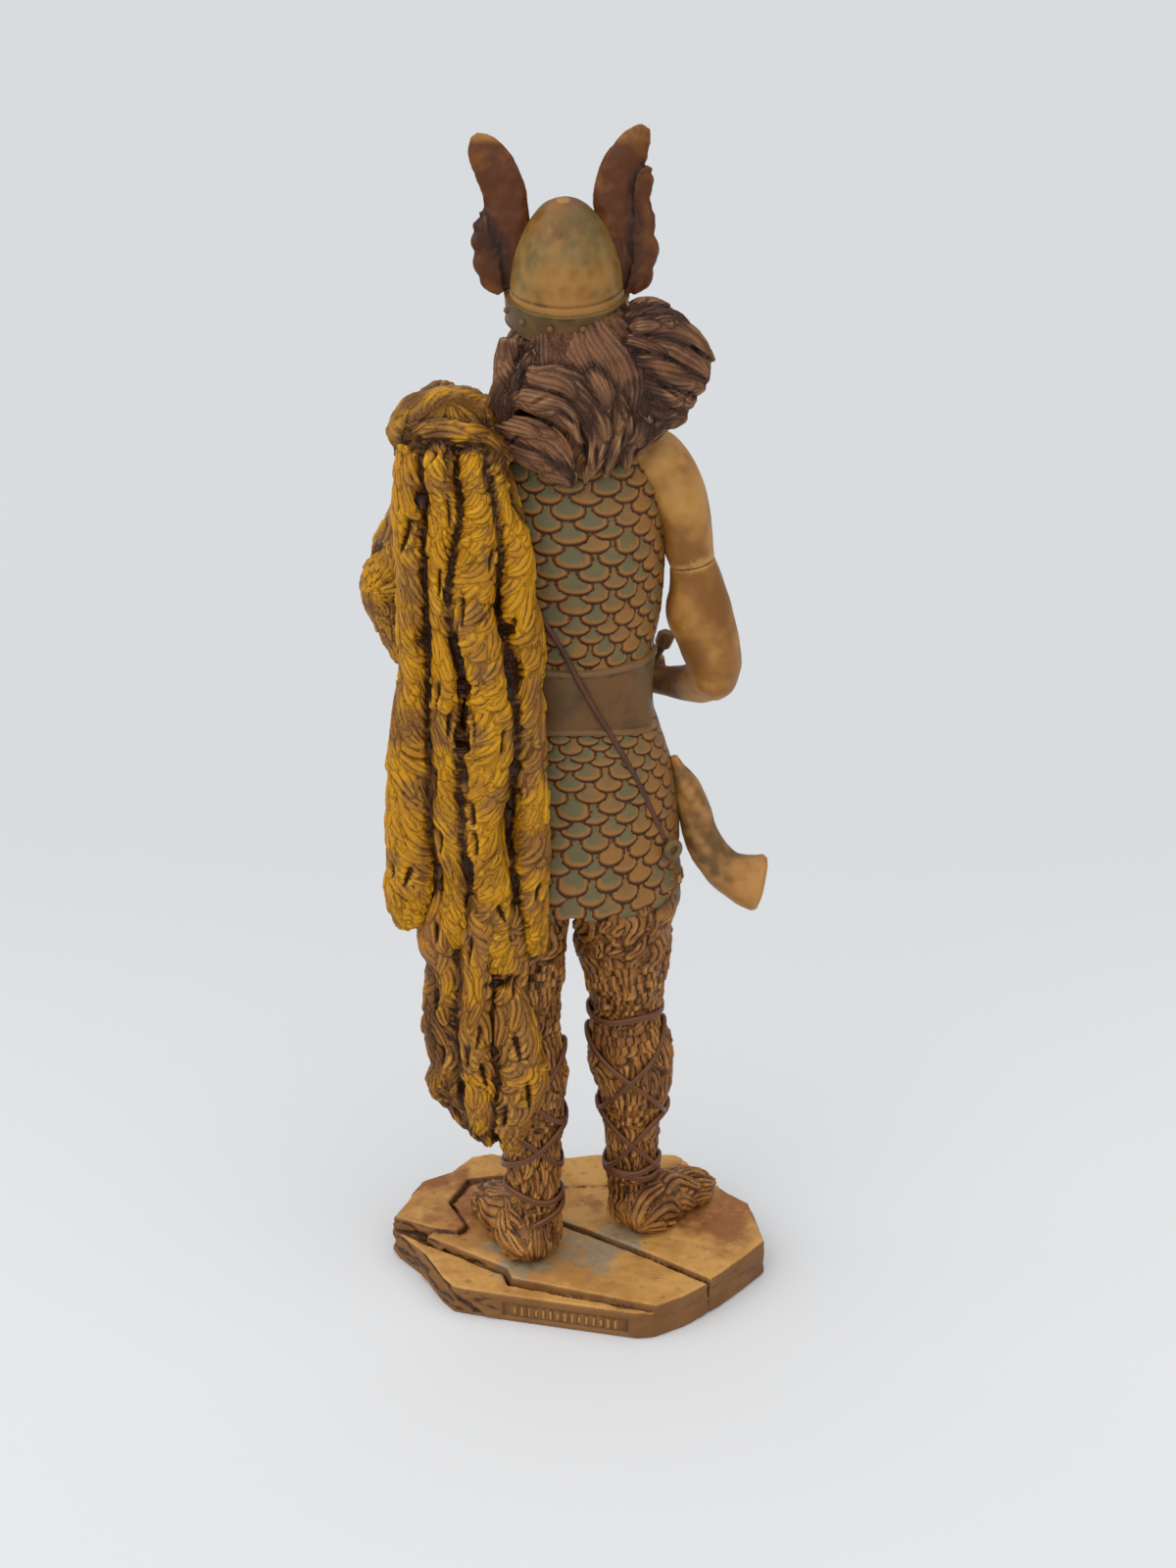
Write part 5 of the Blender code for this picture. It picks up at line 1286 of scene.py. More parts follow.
CLOAK_HOLES = [         # x, z, tilt, length, width, depth
    (34.5, 222.2, 0.0, 1.8, 1.2, 2.8), (29.9, 221.0, 0.0, 2.2, 1.3, 2.8),
    (37.4, 217.1, 0.2, 1.5, 0.8, 1.9), (37.1, 209.8, 0.0, 2.2, 1.0, 2.0),
    (27.3, 231.4, 1.4, 2.4, 0.8, 1.6), (44.2, 195.1, 0.3, 1.6, 0.7, 1.7),
    (41.2, 202.5, 0.4, 4.5, 0.9, 2.2), (15.5, 181.4, 0.0, 1.3, 1.0, 2.4),
    (28.8, 173.4, -0.2, 5.0, 1.0, 2.3), (16.1, 166.7, 0.0, 5.5, 1.1, 2.2),
    (34.6, 162.4, 0.1, 4.0, 0.8, 1.9), (32.8, 191.8, 0.1, 3.4, 0.8, 1.9),
    (30.1, 209.4, 0.0, 4.0, 0.9, 1.6), (45.0, 181.0, 0.2, 2.4, 0.8, 1.7),
    (27.7, 162.8, -0.1, 3.6, 0.8, 2.0), (25.8, 155.7, -0.5, 3.0, 0.8, 2.0),
    (28.8, 149.8, 0.0, 4.0, 0.9, 2.3), (31.1, 155.0, 0.2, 3.0, 0.7, 1.6),
    (27.7, 141.0, -0.1, 3.6, 0.9, 2.2), (26.0, 132.7, -0.3, 3.0, 0.9, 2.0),
    (25.5, 125.0, -0.1, 3.4, 1.0, 2.3), (26.9, 115.2, 0.2, 4.4, 1.0, 2.3),
    (15.9, 142.9, 0.3, 2.0, 0.8, 1.8), (16.4, 134.9, 0.2, 3.0, 0.8, 1.9),
    (34.6, 123.3, 0.2, 3.6, 0.8, 1.7), (15.9, 98.4, 0.0, 3.0, 1.2, 2.6),
    (18.8, 104.6, -0.4, 2.6, 0.8, 1.8), (9.6, 109.9, 0.5, 2.4, 0.7, 1.5),
    (27.0, 105.9, 0.1, 4.0, 0.9, 2.0), (42.7, 113.6, 0.4, 3.0, 0.8, 1.8),
    (47.0, 114.5, 0.3, 2.4, 0.7, 1.6), (35.4, 140.0, 0.1, 3.6, 0.7, 1.6),
    (36.0, 176.0, 0.0, 3.6, 0.8, 1.8), (17.4, 152.0, 0.0, 3.4, 0.8, 1.9),
    (27.8, 186.0, 0.0, 4.0, 0.8, 1.7), (20.0, 197.0, 0.3, 2.8, 0.7, 1.5),
]
LOWER_HOLES = [
    (18.8, 84.4, 1.3, 3.4, 1.3, 2.8), (15.2, 83.6, 0.6, 2.4, 1.2, 2.6), (35.8, 97.5, 0.1, 3.0, 0.8, 1.8),
    (27.6, 93.6, 0.0, 4.0, 0.9, 2.2), (35.1, 62.6, 0.2, 3.0, 0.8, 1.9), (30.2, 52.7, 0.1, 3.4, 0.9, 2.1),
    (19.3, 46.0, 0.0, 3.2, 1.0, 2.3), (21.6, 37.0, 0.2, 3.0, 1.0, 2.2), (12.6, 52.7, -0.1, 4.0, 0.8, 2.0),
    (31.8, 44.4, -0.3, 2.4, 0.8, 1.8), (15.4, 66.7, -0.2, 3.6, 0.8, 1.9),
    (24.8, 69.7, 0.3, 3.2, 0.8, 1.7), (36.6, 77.8, 0.1, 3.4, 0.7, 1.6), (20.7, 87.8, -0.3, 2.6, 0.9, 2.0),
    (24.0, 58.0, -0.2, 3.4, 0.8, 1.9), (28.5, 64.0, 0.1, 3.4, 0.8, 1.8),
]


def slanted(lean):
    """Tufts that slant one way on the fold's crest and hang straighter at its sides."""
    return lambda turn, share: lean * (0.5 + 0.5 * np.sin(turn))


def over_roll(turn, share):
    """Tufts that run round the roll, away from its top."""
    return ROLL_TUFTS * np.where(np.cos(turn) > 0, 1.0, -1.0)


def fur_piece(name, forms, coats, voxel, valley, sink, own_holes, holes, finish):
    """A part of the cloak: its forms melted together, combed and painted."""
    meshes = [swept(form["rows"], 64, 90, form["side"], form["square"]) for form in forms]
    mesh = combed(melted(meshes, voxel, 8), forms, coats, valley, sink, own_holes=own_holes,
                  holes=holes, lumps=(8.0, 0.6), shade=0.36)
    cast(name, mesh, finish)


def narrowed(rows):
    """A fold as it is dressed: slimmer, and below the gathered cloth."""
    rows = np.asarray(rows) * FOLD_SHARE
    rows[:, 2] = np.minimum(rows[:, 2], FOLD_TOP)
    return rows


def cloak():
    folds = [form_of(uneven(narrowed(rows), 60 + number, 1.0, 12.0)) for number, rows in enumerate(FOLDS)]
    forms = [form_of(CLOAK_BACKING, square=0.8), *folds, form_of(ELBOW_DRAPE),
             form_of(SHOULDER_ROLL, (0, 1, 0)), form_of(FRONT_ROLL), form_of(FLAP),
             form_of(PINCH, (0, 1, 0)), form_of(ARM_COVER)]
    leans = [0.0, *(slanted(lean) for lean in FOLD_LEAN), 0.1, over_roll, 0.2, 0.5, 0.25, 0.3]
    coats = [coat(form, 70 + number, lean=lean, **FOLD_TUFTS)
             for number, (form, lean) in enumerate(zip(forms, leans))]
    for number in (5, 10):
        coats[number] = coat(forms[number], 75, **DRAPE_TUFTS)
    fur_piece("cloak", forms, coats, 0.42, 2.6, 0.3, CLOAK_HOLES, 8, CLOAK_PAINT)
    lower = [form_of(uneven(narrowed(rows), 80 + number, 1.1, 11.0))
             for number, rows in enumerate(LOWER_LAYER)]
    forms = [form_of(LOWER_BACKING, square=0.8), *lower]
    coats = [coat(form, 90 + number, lean=slanted(lean), **LOWER_TUFTS)
             for number, (form, lean) in enumerate(zip(forms, [0.0, *LOWER_LEAN]))]
    fur_piece("cloak_lower", forms, coats, 0.40, 2.2, 0.25, LOWER_HOLES, 0, LOWER_PAINT)


# Arms and hands

def fist(middle, along, out, size=1.0):
    """A closed hand round a bar: four fingers and a thumb, each curled round the bar's line."""
    middle, along, out = (np.array(value, float) for value in (middle, along, out))
    along = unit(along)
    out = unit(out - (out * along).sum() * along)
    up = np.cross(along, out)
    forms = []
    for number in range(4):
        offset = (number - 1.5) * 2.25 * size
        reach = (3.5, 3.9, 3.8, 3.3)[number] * size
        angles = np.linspace(-0.9, 3.6, 6)
        rows = [(*(middle + along * offset + reach * (math.cos(angle) * out + math.sin(angle) * up)),
                 1.15 * size, 1.15 * size) for angle in angles]
        forms.append(swept(rows, 16, 26, side=tuple(along)))
    thumb = [(*(middle - along * 4.2 * size + out * 0.6), 1.5 * size, 1.5 * size),
             (*(middle - along * 4.4 * size + up * 2.6 * size + out * 1.5), 1.35 * size, 1.35 * size),
             (*(middle - along * 2.2 * size + up * 4.4 * size + out * 0.6), 1.2 * size, 1.2 * size),
             (*(middle + along * 0.6 * size + up * 4.9 * size - out * 0.4), 0.8 * size, 0.8 * size)]
    forms.append(swept(thumb, 16, 24, side=tuple(out)))
    return forms


def inner_muscle(turn, share):
    """The upper arm swells towards the chest below the seam."""
    return 0.9 * np.clip(np.cos(turn), 0, 1) ** 2 * np.exp(-((share - 0.26) / 0.16) ** 2)


def arms():
    shoulder = roughened(swept(RIGHT_SHOULDER, 90, 70), 9.0, 0.22)
    grooved(shoulder, 10, 0.2)
    cast("right_shoulder", shoulder, SKIN_PAINT)
    tucked = [np.asarray(rows) + ARM_TUCK for rows in (LEFT_ARM, LEFT_FOREARM)]
    forms = [swept(rows, 56, 50) for rows in (*tucked, LEFT_FIST)]
    forms += fist((34.4, -26.2, 219.8), (-0.75, -0.1, 0.6), (0.1, -1, 0.1))
    left = roughened(melted(forms, 0.42, 3), 9.0, 0.2)
    grooved(left, 10, 0.25)
    cast("left_arm", left, SKIN_PAINT)
    last = np.array(RIGHT_SHOULDER[-1], float)
    last[:3] += unit(last[:3] - np.array(RIGHT_SHOULDER[-2][:3])) * 0.3
    forms = [swept([tuple(last), *RIGHT_ARM], 72, 60, relief=inner_muscle),
             swept(FOREARM, 56, 50, side=(0, 0, 1)), swept(RIGHT_FIST, 40, 36)]
    forms += fist((-17.4, -25.2, 152.6), (0.55, -0.3, -0.8), (0.3, -0.9, 0.5))
    right = roughened(melted(forms, 0.4, 3), 9.0, 0.2)
    grooved(right, 10, 0.25)
    # Painted shade: the front of the right arm and fist, towards -Y, gets a low crown, so the skin paint
    # puts its dark low colour there.
    mark(right, "crown", 0.5 * smooth_step(places(right)[:, 1], -17, -6))
    piece("right_arm_skin", right, SKIN_PAINT, "skin_paint", "right_arm")
    hilt = swept(GRIP, 36, 60)
    grooved(hilt, 8, 0.15)
    piece("hilt", hilt, BAND_PAINT, "figure_paint", "right_arm")


# Legs

BINDINGS = {            # cords round each leg: height at the back, and how far they rise to one side
    "right": [(64.9, 0.6), (48.0, 12.0), (46.6, -11.5), (27.0, 9.5), (27.0, -9.5), (18.4, 1.0),
              (16.8, -0.6)],
    "left": [(48.0, 10.0), (48.0, -10.0), (34.0, -8.6), (31.0, 6.0), (17.6, -1.6), (9.4, 4.6)],
}
THIGH = 0.4             # share of the leg's length with curlier fur
THIGH_TUFTS = {"long": 9.5, "wide": 4.8, "lift": 1.6, "curl": 0.5, "waves": 0.7, "swirl": 0.5,
               "swirl_length": 18}
SHIN_TUFTS = {"long": 12.0, "wide": 5.0, "lift": 1.4, "curl": 0.4, "waves": 0.5, "swirl": 0.5,
              "swirl_length": 30}
BOOT_TUFTS = {"long": 11.0, "wide": 5.2, "lift": 1.4, "curl": 0.4, "waves": 0.5, "scatter": 0.14,
              "spacing": 0.55}
HIP_FUR = [             # the trousers' fur bulges out under the skirt on the right
    (-19.0, -3.0, 111, 5.0, 8.0),
    (-21.8, -3.0, 104, 5.6, 9.4),
    (-21.4, -3.2, 97, 5.0, 9.0),
    (-19.0, -3.4, 90, 3.0, 6.0),
]


def boot_rows(heel, toe, sole):
    """A boot's form, from its heel to its toe."""
    heel, toe = np.array(heel, float), np.array(toe, float)
    rows = []
    for share, half_width, height in FOOT:
        x, y = heel + (toe - heel) * share
        half_height = height / (1 + SOLE_SINK)
        rows.append((x, y, sole + half_height * SOLE_SINK, half_width, half_height))
    ahead = unit(toe - heel)
    return form_of(rows, (ahead[1], -ahead[0], 0))


def leg_cord(leg, height, tilt):
    """A flat thong round the leg, with a groove along its middle."""
    heights = np.array([row[2] for row in leg], float)
    form = bmesh.new()
    rim = bmesh.ops.create_circle(form, segments=12, radius=1.0)["verts"]
    for vertex in rim:
        vertex.co = (1 + vertex.co.x, 0, vertex.co.y)
    bmesh.ops.spin(form, geom=form.verts[:] + form.edges[:], cent=(0, 0, 0), axis=(0, 0, 1),
                   angle=2 * math.pi, steps=72, use_merge=True)
    bmesh.ops.remove_doubles(form, verts=form.verts, dist=1e-5)
    for vertex in form.verts:
        out = math.hypot(vertex.co.x, vertex.co.y) - 1
        angle = math.atan2(vertex.co.y, vertex.co.x)
        lift = vertex.co.z
        level = height - tilt * math.cos(angle) + 0.5 * math.sin(3 * angle + height)
        spot = np.interp(-level, -heights, np.linspace(0, 1, len(leg)))
        x, y, _, half_width, half_depth = along_rows(leg, [spot])[0]
        groove = 0.28 * (1 - min(abs(lift) / 0.45, 1)) if out > 0 else 0
        proud = 0.75 + out * 0.75 - groove
        vertex.co = (x + math.cos(angle) * (half_width + proud),
                     y + math.sin(angle) * (half_depth + proud), level + lift * 0.95)
    bmesh.ops.recalc_face_normals(form, faces=form.faces)
    return mesh_of(form)


def legs():
    for side, leg, heel, toe, sole in (("right", RIGHT_LEG, (-15.0, 5.4), (-34.6, -20.8), 0.0),
                                       ("left", LEFT_LEG, (11.4, 19.4), (25.0, -16.0), -LEFT_DROP)):
        boot = boot_rows(heel, toe, sole)
        meshes = [swept(leg, 64, 100), swept(boot["rows"], 56, 72, boot["side"], floor=sole)]
        if side == "right":
            meshes.append(swept(HIP_FUR, 40, 40))
        mesh = melted(meshes, 0.45, 2)
        down = np.array(leg[-1], float)
        down[1] += 4.0
        down[3:] += (1.0, 4.0)
        shin = [*leg[:-1], tuple(down)]
        forms = [form_of(shin), boot]
        curly = coat(forms[0], 110 + len(side), **THIGH_TUFTS)
        calm = coat(forms[0], 120 + len(side), **SHIN_TUFTS)
        reach = np.linspace(0, 1, curly["heights"].shape[0])[:, None]
        mixed = {name: np.where(reach < THIGH, curly[name], calm[name]) for name in curly}
        foot = coat(boot, 130 + len(side), **BOOT_TUFTS)
        mesh = combed(mesh, forms, [mixed, foot], 1.4, 0.0, floor=sole, lumps=(6.0, 0.6), shade=0.0)
        cast(side + "_leg", mesh, LEG_PAINT)
        cords = joined([leg_cord(leg, *binding) for binding in BINDINGS[side]])
        grooved(cords, 4, 0.2)
        cast(side + "_leg_cords", cords, CORD_PAINT)


# Horn

def horn_relief(turn, share):
    return 0.12 * np.sin(turn * 2 + share * 9) + 0.07 * np.sin(turn * 5 - share * 23)


def horn():
    mesh = swept(HORN_LINE, 72, 110, side=(0, 1, 0), relief=horn_relief)
    spots = places(mesh)
    end = np.array(HORN_LINE[-1][:3])
    back = unit(np.array(HORN_LINE[-3][:3]) - end)
    off = spots - end
    radius = np.linalg.norm(off - (off * back).sum(1, keepdims=True) * back, axis=1)
    on_mouth = np.abs((off * back).sum(1)) < 0.35
    bowl = on_mouth * smooth_step(HORN_LINE[-1][3] * 0.86 - radius, 0.0, 1.0) * 3.0
    move_to(mesh, spots + back * bowl[:, None])
    roughened(mesh, 5.0, 0.18)
    grooved(mesh, 12, 0.15)
    piece("drinking_horn", mesh, HORN_PAINT, "horn_paint", "horn")


# Base

PANEL_ENDS = ((0.438, 0.757), (-0.305, 1.000))      # the rear face, in shares of the half sizes
BASE_HALF = (51.4, 39.5)
PANEL_LENGTH = 35.0
PANEL_LOW = 1.2
PANEL_HEIGHT = 4.6
PANEL_DEPTH = 0.9
DIAGONAL_CRACK = [(43.0, 0.5), (35.0, -0.8), (30.0, -4.5), (25.5, -7.6)]   # x, and height over SLAB_TOP
SLAB_TOP = 8.0
STROKES = 15
RUST = [                # x, y and size of the stains
    (-39.4, -10.0, 11), (-31.4, 0.3, 11), (-0.3, -10.0, 7), (34.3, -4.3, 11), (-45.5, 8.9, 8),
    (38.8, -22.2, 8),
]
SLATE = [
    (4.3, -6.0, 6), (-4.4, 14.3, 13), (-13.5, 4.9, 6), (16.3, 18.7, 9), (8.3, -19.5, 6), (23.9, 6.4, 6),
]
NOTCH = (-34.8, 29.5)   # where the right stone's rear face is broken from top to bottom


def rear_face():
    """Start, way along and way out of the face that holds the panel."""
    start, end = (np.array(share) * BASE_HALF for share in PANEL_ENDS)
    way = unit(end - start)
    return start, end, way, np.array([way[1], -way[0]])


def broken_edge(spots, side):
    """How far the rear edge is broken in: along its crack and at the notch."""
    crack = np.full(len(spots), 9.0)
    for (x0, h0), (x1, h1) in zip(DIAGONAL_CRACK, DIAGONAL_CRACK[1:]):
        a, b = np.array([x0, SLAB_TOP + h0]), np.array([x1, SLAB_TOP + h1])
        rel = spots[:, [0, 2]] - a
        t = np.clip((rel @ (b - a)) / ((b - a) @ (b - a)), 0, 1)
        crack = np.minimum(crack, np.linalg.norm(rel - t[:, None] * (b - a), axis=1))
    cut = (1 - smooth_step(crack, 0.3, 1.3)) * (spots[:, 1] > 8) * side
    notch = np.linalg.norm(spots[:, :2] - np.array(NOTCH) - 0.12 * (spots[:, 2:3] - 6) * (1, 0), axis=1)
    return np.maximum(cut, (1 - smooth_step(notch, 0.4, 1.5)) * side)


def stained(spots, broad):
    """1 where the stone is rusty, 0 where it is slate, with ragged edges."""
    stain = np.full(len(spots), 0.5)
    for stains, step in ((RUST, 0.5), (SLATE, -0.5)):
        for x, y, size in stains:
            off = np.hypot(spots[:, 0] - x, spots[:, 1] - y) / size + 0.5 * broad
            stain = stain + step * (1 - smooth_step(off, 0.2, 1.7))
    return np.clip(stain, 0, 1)


def base():
    """The flagstones: the solid made one skin, worn, cracked and stained."""
    form = bmesh.new()
    form.from_mesh(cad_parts["base"].data)
    bmesh.ops.remove_doubles(form, verts=form.verts, dist=1e-6)
    bmesh.ops.scale(form, verts=form.verts, vec=(1 / PART, 1 / PART, 1 / PART))
    mesh = melted([mesh_of(form)], 0.42, 1)
    spots = places(mesh)
    ways = facing(mesh)
    side = 1 - smooth_step(np.abs(ways[:, 2]), 0.35, 0.8)
    top = smooth_step(ways[:, 2], 0.5, 0.9)
    start, end, way, out = rear_face()
    along = (spots[:, :2] - start) @ way
    ahead = (spots[:, :2] - start) @ out
    full = np.linalg.norm(end - start)
    in_panel = ((np.abs(along - full / 2) < PANEL_LENGTH / 2 + 0.3) & (ahead > -2.0) & (ahead < 0.6)
                & (spots[:, 2] > PANEL_LOW - 0.6) & (spots[:, 2] < PANEL_LOW + PANEL_HEIGHT + 0.4))
    calm = np.where(in_panel, 0.0, 1.0)
    broad = rough_noise(spots, 17.0, 3)
    fine = rough_noise(spots, 4.0, 4, 7.3)
    strata = rough_noise(spots * (1, 1, 3.2), 7.0, 4, 3.1)
    broken = smooth_step(spots[:, 0], 18, 34) * smooth_step(spots[:, 1], -30, 10)
    rise = (0.35 * broad + 0.26 * fine) * top
    rise = rise + side * calm * (0.32 * strata + 0.14 * fine + broken * (0.9 * strata + 0.5 * broad))
    foot = smooth_step(spots[:, 2], 0.0, 1.5)
    spots = spots + ways * (rise * foot)[:, None]
    cut = broken_edge(spots, side)
    spots = spots - ways * (1.3 * cut)[:, None]
    spots[:, 2] = np.maximum(spots[:, 2], 0)
    move_to(mesh, spots)
    # Painted shade: the cracks and the broken flank at +X are added to the hollow mark, which the paint
    # darkens; crown is the top, and the paint darkens the flanks away from it.
    mark(mesh, "hollow", hollows(mesh, 12, 0.22) + 0.5 * cut + 0.35 * broken * side)
    mark(mesh, "tint", stained(spots, broad))
    mark(mesh, "crown", top)
    spots[:, 2] -= SOLE_RISE / PART
    move_to(mesh, spots)
    piece("flagstones", mesh, STONE_PAINT, "stone_paint", "base")


def panel_strokes():
    """A row of upright strokes, which are no letters, in the sunk panel."""
    start, end, way, out = rear_face()
    full = np.linalg.norm(end - start)
    strokes = []
    for number in range(STROKES):
        spot = start + way * (full / 2 + PANEL_LENGTH * 0.84 * ((number + 0.5) / STROKES - 0.5))
        spot = spot - out * (PANEL_DEPTH - 0.1)
        stroke = bmesh.new()
        bmesh.ops.create_cube(stroke, size=1)
        tall = 2.3 if number % 3 else 1.6
        bmesh.ops.scale(stroke, verts=stroke.verts, vec=(0.6, 0.9, tall))
        bmesh.ops.bevel(stroke, geom=stroke.edges[:], offset=0.14, segments=2, profile=0.5,
                        affect="EDGES", material=-1)
        bmesh.ops.rotate(stroke, verts=stroke.verts, cent=(0, 0, 0),
                         matrix=Matrix.Rotation(math.atan2(way[1], way[0]), 3, "Z"))
        bmesh.ops.translate(stroke, verts=stroke.verts,
                            vec=(*spot, PANEL_LOW + PANEL_HEIGHT / 2 - SOLE_RISE / PART))
        strokes.append(mesh_of(stroke))
    piece("panel_strokes", joined(strokes), STONE_PAINT, "stone_paint", "base")


# Stage, light and camera

def studio():
    form = bmesh.new()
    bmesh.ops.create_grid(form, x_segments=2, y_segments=2, size=60)
    floor = placed("floor", mesh_of(form))
    mix = Recipe("pale floor")
    away = mix.tree.nodes.new("ShaderNodeSeparateXYZ")
    mix.feed(away.inputs[0], mix.coords)
    # Painted shade: the floor darkens towards the back, standing in for the light falling off.
    far = mix.level(away.outputs["Y"], 0.05, -0.35)
    pale = mix.blend(far, (220, 221, 223), (206, 208, 211))
    floor.data.materials.append(mix.done(pale, 0.7, specular=0.05))
    scene = bpy.context.scene
    scene.view_settings.view_transform = "Standard"
    world = bpy.data.worlds.new("studio")
    scene.world = world
    world.use_nodes = True
    sky = world.node_tree.nodes["Background"]
    sky.inputs["Color"].default_value = (0.92, 0.96, 1.0, 1)
    sky.inputs["Strength"].default_value = 0.34
    for name, toward, angle, strength, colour in (
            ("window", (0.12, 0.5, 1.2), 130, 2.5, (1.0, 0.99, 0.97)),
            ("side", (1.0, 0.5, 0.9), 60, 0.5, (1.0, 0.99, 0.97))):
        light = bpy.data.lights.new(name, "SUN")
        light.angle = math.radians(angle)
        light.energy = strength
        light.color = colour
        lamp = placed(name, light)
        lamp.rotation_euler = (-Vector(toward)).to_track_quat("-Z", "Y").to_euler()


def camera():
    view = bpy.data.cameras.new("camera")
    view.sensor_width = 36
    view.lens = 60.75
    view.clip_start = 0.01
    viewer = placed("camera", view)
    viewer.location = (-0.0028, 0.6293, 0.396)
    viewer.rotation_euler = (math.radians(68), 0, math.pi)
    bpy.context.scene.camera = viewer


def stone_paint():
    """Warm stone with rusty and slate stains, its flanks darker as painted shade, and dark in its cracks
    and hollows, partly painted shade.
    """
    mix = Recipe("stone paint")
    stain = mix.plus(mix.trait("tint"), mix.work("SUBTRACT", mix.clouds(0.007, 5.0, 0.65), 0.5), 1.1)
    colour = mix.blend(mix.level(mix.clouds(0.016, 4.0, 0.6), 0.42, 0.62), (196, 146, 78),
                       (172, 122, 62))
    colour = mix.blend(mix.level(stain, 0.72, 1.05, 0.0, 0.85), colour, (138, 80, 42))
    colour = mix.blend(mix.level(stain, 0.3, -0.05, 0.0, 0.8), colour, (142, 132, 112))
    # Painted shade: the flanks, away from the top (crown), turn darker brown.
    colour = mix.blend(mix.level(mix.trait("crown"), 0.1, 0.9, 0.8, 0.0), colour, (98, 58, 22))
    specks = mix.level(mix.clouds(0.0016, 2.0, 0.6, shift=(0.2, 0.4, 0.1)), 0.64, 0.72, 0.0, 0.5)
    colour = mix.blend(specks, colour, (96, 62, 34))
    # The cracks and hollows darkened: partly painted shade.
    shade_pool = mix.plus(mix.trait("hollow"), mix.clouds(0.006), 0.35)
    colour = mix.blend(mix.level(shade_pool, 0.2, 1.0, 0.0, 0.95), colour, (66, 38, 18))
    normal = mix.bump(mix.clouds(0.0009, 4.0, 0.6), 0.3, 0.00025)
    return mix.done(colour, mix.level(mix.clouds(0.01), 0.35, 0.7, 0.5, 0.7), normal, 0.35)


def scale_paint():
    """Scales tan at their tips and grey-green behind them, rusty brown in between; painted shade darkens
    the rim of each scale and the hollows.
    """
    mix = Recipe("scale paint")
    inner = mix.trait("crown")
    axes = mix.tree.nodes.new("ShaderNodeSeparateXYZ")
    mix.feed(axes.inputs[0], mix.coords)
    region = mix.level(axes.outputs["X"], -0.022, 0.012, -0.22, 0.16)
    rank = mix.work("ADD", mix.plus(region, mix.trait("tint"), 0.35), mix.clouds(0.012, 4.0, 0.6))
    cool = mix.blend(mix.clouds(0.005), (110, 100, 66), (88, 82, 54))
    warm = mix.blend(mix.clouds(0.006), (148, 102, 50), (122, 82, 38))
    behind = mix.blend(mix.level(rank, 0.34, 0.68), warm, cool)
    colour = mix.blend(mix.level(inner, 0.4, 0.85), (152, 102, 46), behind)
    # Painted shade: dark brown along each scale's rim, where it steps down onto the next row.
    edge = mix.plus(inner, mix.work("SUBTRACT", mix.clouds(0.003), 0.5), 0.3)
    colour = mix.blend(mix.level(edge, 0.04, 0.55, 1.0, 0.0), colour, (66, 36, 14))
    brown = mix.level(axes.outputs["X"], -0.0275, -0.021, 0.7, 0.0)
    colour = mix.blend(brown, colour, (104, 70, 34))
    # The hollows darkened: antiquing and painted shade.
    shade_pool = mix.plus(mix.trait("hollow"), mix.clouds(0.006), 0.4)
    colour = mix.blend(mix.level(shade_pool, 0.3, 1.1, 0.0, 0.9), colour, (56, 32, 12))
    normal = mix.bump(mix.clouds(0.0006, 3.0, 0.6), 0.3, 0.0002)
    return mix.done(colour, mix.level(mix.clouds(0.009), 0.35, 0.7, 0.42, 0.6), normal, 0.25)


ARMOUR_PAINT = scale_paint()
BELT_PAINT = aged_paint(
    "belt paint", (106, 72, 38), (88, 62, 34), (44, 26, 12),
    (126, 94, 56), patch=0.012, third=(98, 82, 48), rough=0.42, shade_wash_from=(0.05, 0.7))
STRAP_PAINT = aged_paint(
    "strap paint", (92, 56, 42), (76, 52, 40), (40, 22, 16),
    (126, 88, 68), patch=0.01, rough=0.42)
RING_PAINT = aged_paint(
    "ring paint", (108, 86, 52), (90, 70, 42), (40, 24, 12),
    (136, 112, 74), patch=0.01, rough=0.4)
SKIN_PAINT = aged_paint(
    "skin paint", (174, 125, 62), (144, 94, 38), (78, 42, 14),
    (204, 158, 92), patch=0.016, patch_share=(0.42, 0.64), rough=0.44, highlight_brush_most=0.45,
    grain_bump=0.4, shade_wash_from=(0.1, 0.8), third=(124, 80, 32), third_share=(0.46, 0.7),
    third_patch=0.02, low_colour=(92, 54, 22), low_span=(-0.1, 0.42))
HELMET_PAINT = aged_paint(
    "helmet paint", (132, 86, 34), (106, 70, 30), (48, 28, 10),
    (168, 126, 64), patch=0.011, third=(102, 86, 50), third_share=(0.42, 0.6),
    third_patch=0.016, rough=0.36, shade_wash_from=(0.0, 0.6), grain=0.0012, grain_bump=0.7)
BAND_PAINT = aged_paint(
    "band paint", (82, 62, 30), (90, 56, 22), (32, 18, 6),
    (124, 94, 50), patch=0.01, rough=0.38, shade_wash_from=(0.0, 0.6))
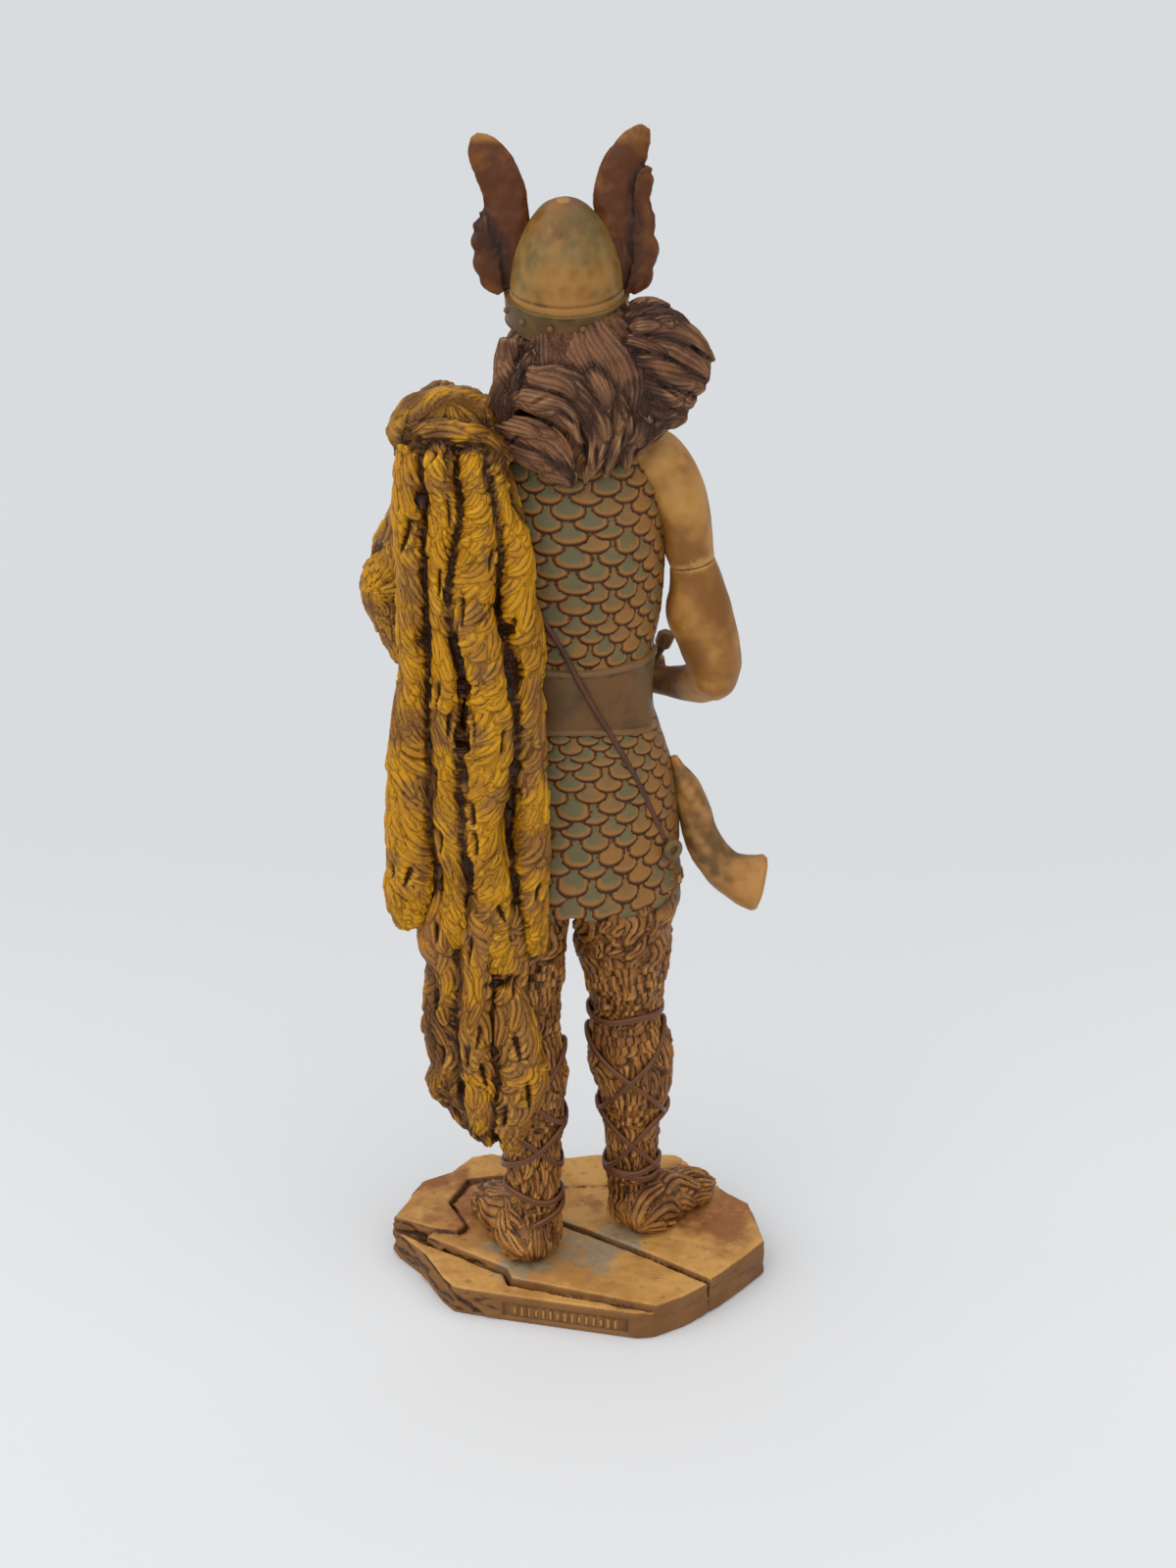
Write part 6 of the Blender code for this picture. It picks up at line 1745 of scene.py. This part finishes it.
WING_PAINT = aged_paint(
    "wing paint", (84, 42, 12), (150, 104, 44), (30, 14, 4),
    (126, 78, 34), patch=0.008, patch_share=(0.42, 0.7), tint_share=0.7, rough=0.4,
    highlight_brush_most=0.6, highlight_brush_from=(0.1, 0.7), low_colour=(58, 28, 10),
    third=(112, 66, 24), third_share=(0.46, 0.64), third_patch=0.009)
HAIR_PAINT = aged_paint(
    "hair paint", (116, 76, 48), (92, 56, 36), (32, 16, 8),
    (172, 132, 92), patch=0.012, rough=0.38, highlight_brush_most=0.7, highlight_brush_from=(0.0, 0.6),
    low_colour=(62, 36, 22), low_span=(0.0, 0.7), shade_wash_from=(0.15, 0.95), strands=0.26)
FUR = {"shade_wash_from": (0.05, 0.85), "rough": 0.38, "highlight_brush_most": 0.5, "strands": 0.42}
CLOAK_PAINT = aged_paint(
    "cloak paint", (190, 132, 2), (160, 106, 10), (48, 24, 3),
    (222, 168, 20), patch=0.012, patch_share=(0.42, 0.62), third=(136, 90, 36),
    third_share=(0.48, 0.62), third_patch=0.013, low_colour=(104, 64, 18), low_span=(0.0, 0.8),
    **FUR)
LOWER_PAINT = aged_paint(
    "lower cloak paint", (182, 124, 8), (146, 96, 30), (46, 24, 6),
    (212, 156, 36), patch=0.013, patch_share=(0.42, 0.58), third=(146, 98, 46),
    third_share=(0.44, 0.58), third_patch=0.016, low_colour=(104, 64, 22), low_span=(0.05, 0.75),
    **FUR)
LEG_PAINT = aged_paint(
    "leg paint", (158, 104, 46), (124, 76, 30), (42, 20, 6),
    (206, 152, 86), patch=0.014, patch_share=(0.42, 0.6), third=(112, 68, 30),
    third_share=(0.5, 0.66), shade_wash_from=(-0.05, 0.6), rough=0.38, highlight_brush_most=0.6, strands=0.5)
CORD_PAINT = aged_paint(
    "cord paint", (86, 48, 30), (70, 40, 26), (34, 16, 8),
    (122, 80, 52), patch=0.01, rough=0.4)
HORN_PAINT = aged_paint(
    "horn paint", (158, 108, 52), (128, 84, 38), (56, 30, 12),
    (182, 134, 74), patch=0.012, third=(104, 74, 40), third_share=(0.48, 0.62), rough=0.4,
    shade_wash_from=(0.05, 0.65), grain=0.0012, grain_bump=0.6)
STONE_PAINT = stone_paint()

camera()
studio()
armour()
head()
helmet()
hair()
cloak()
arms()
legs()
horn()
base()
panel_strokes()
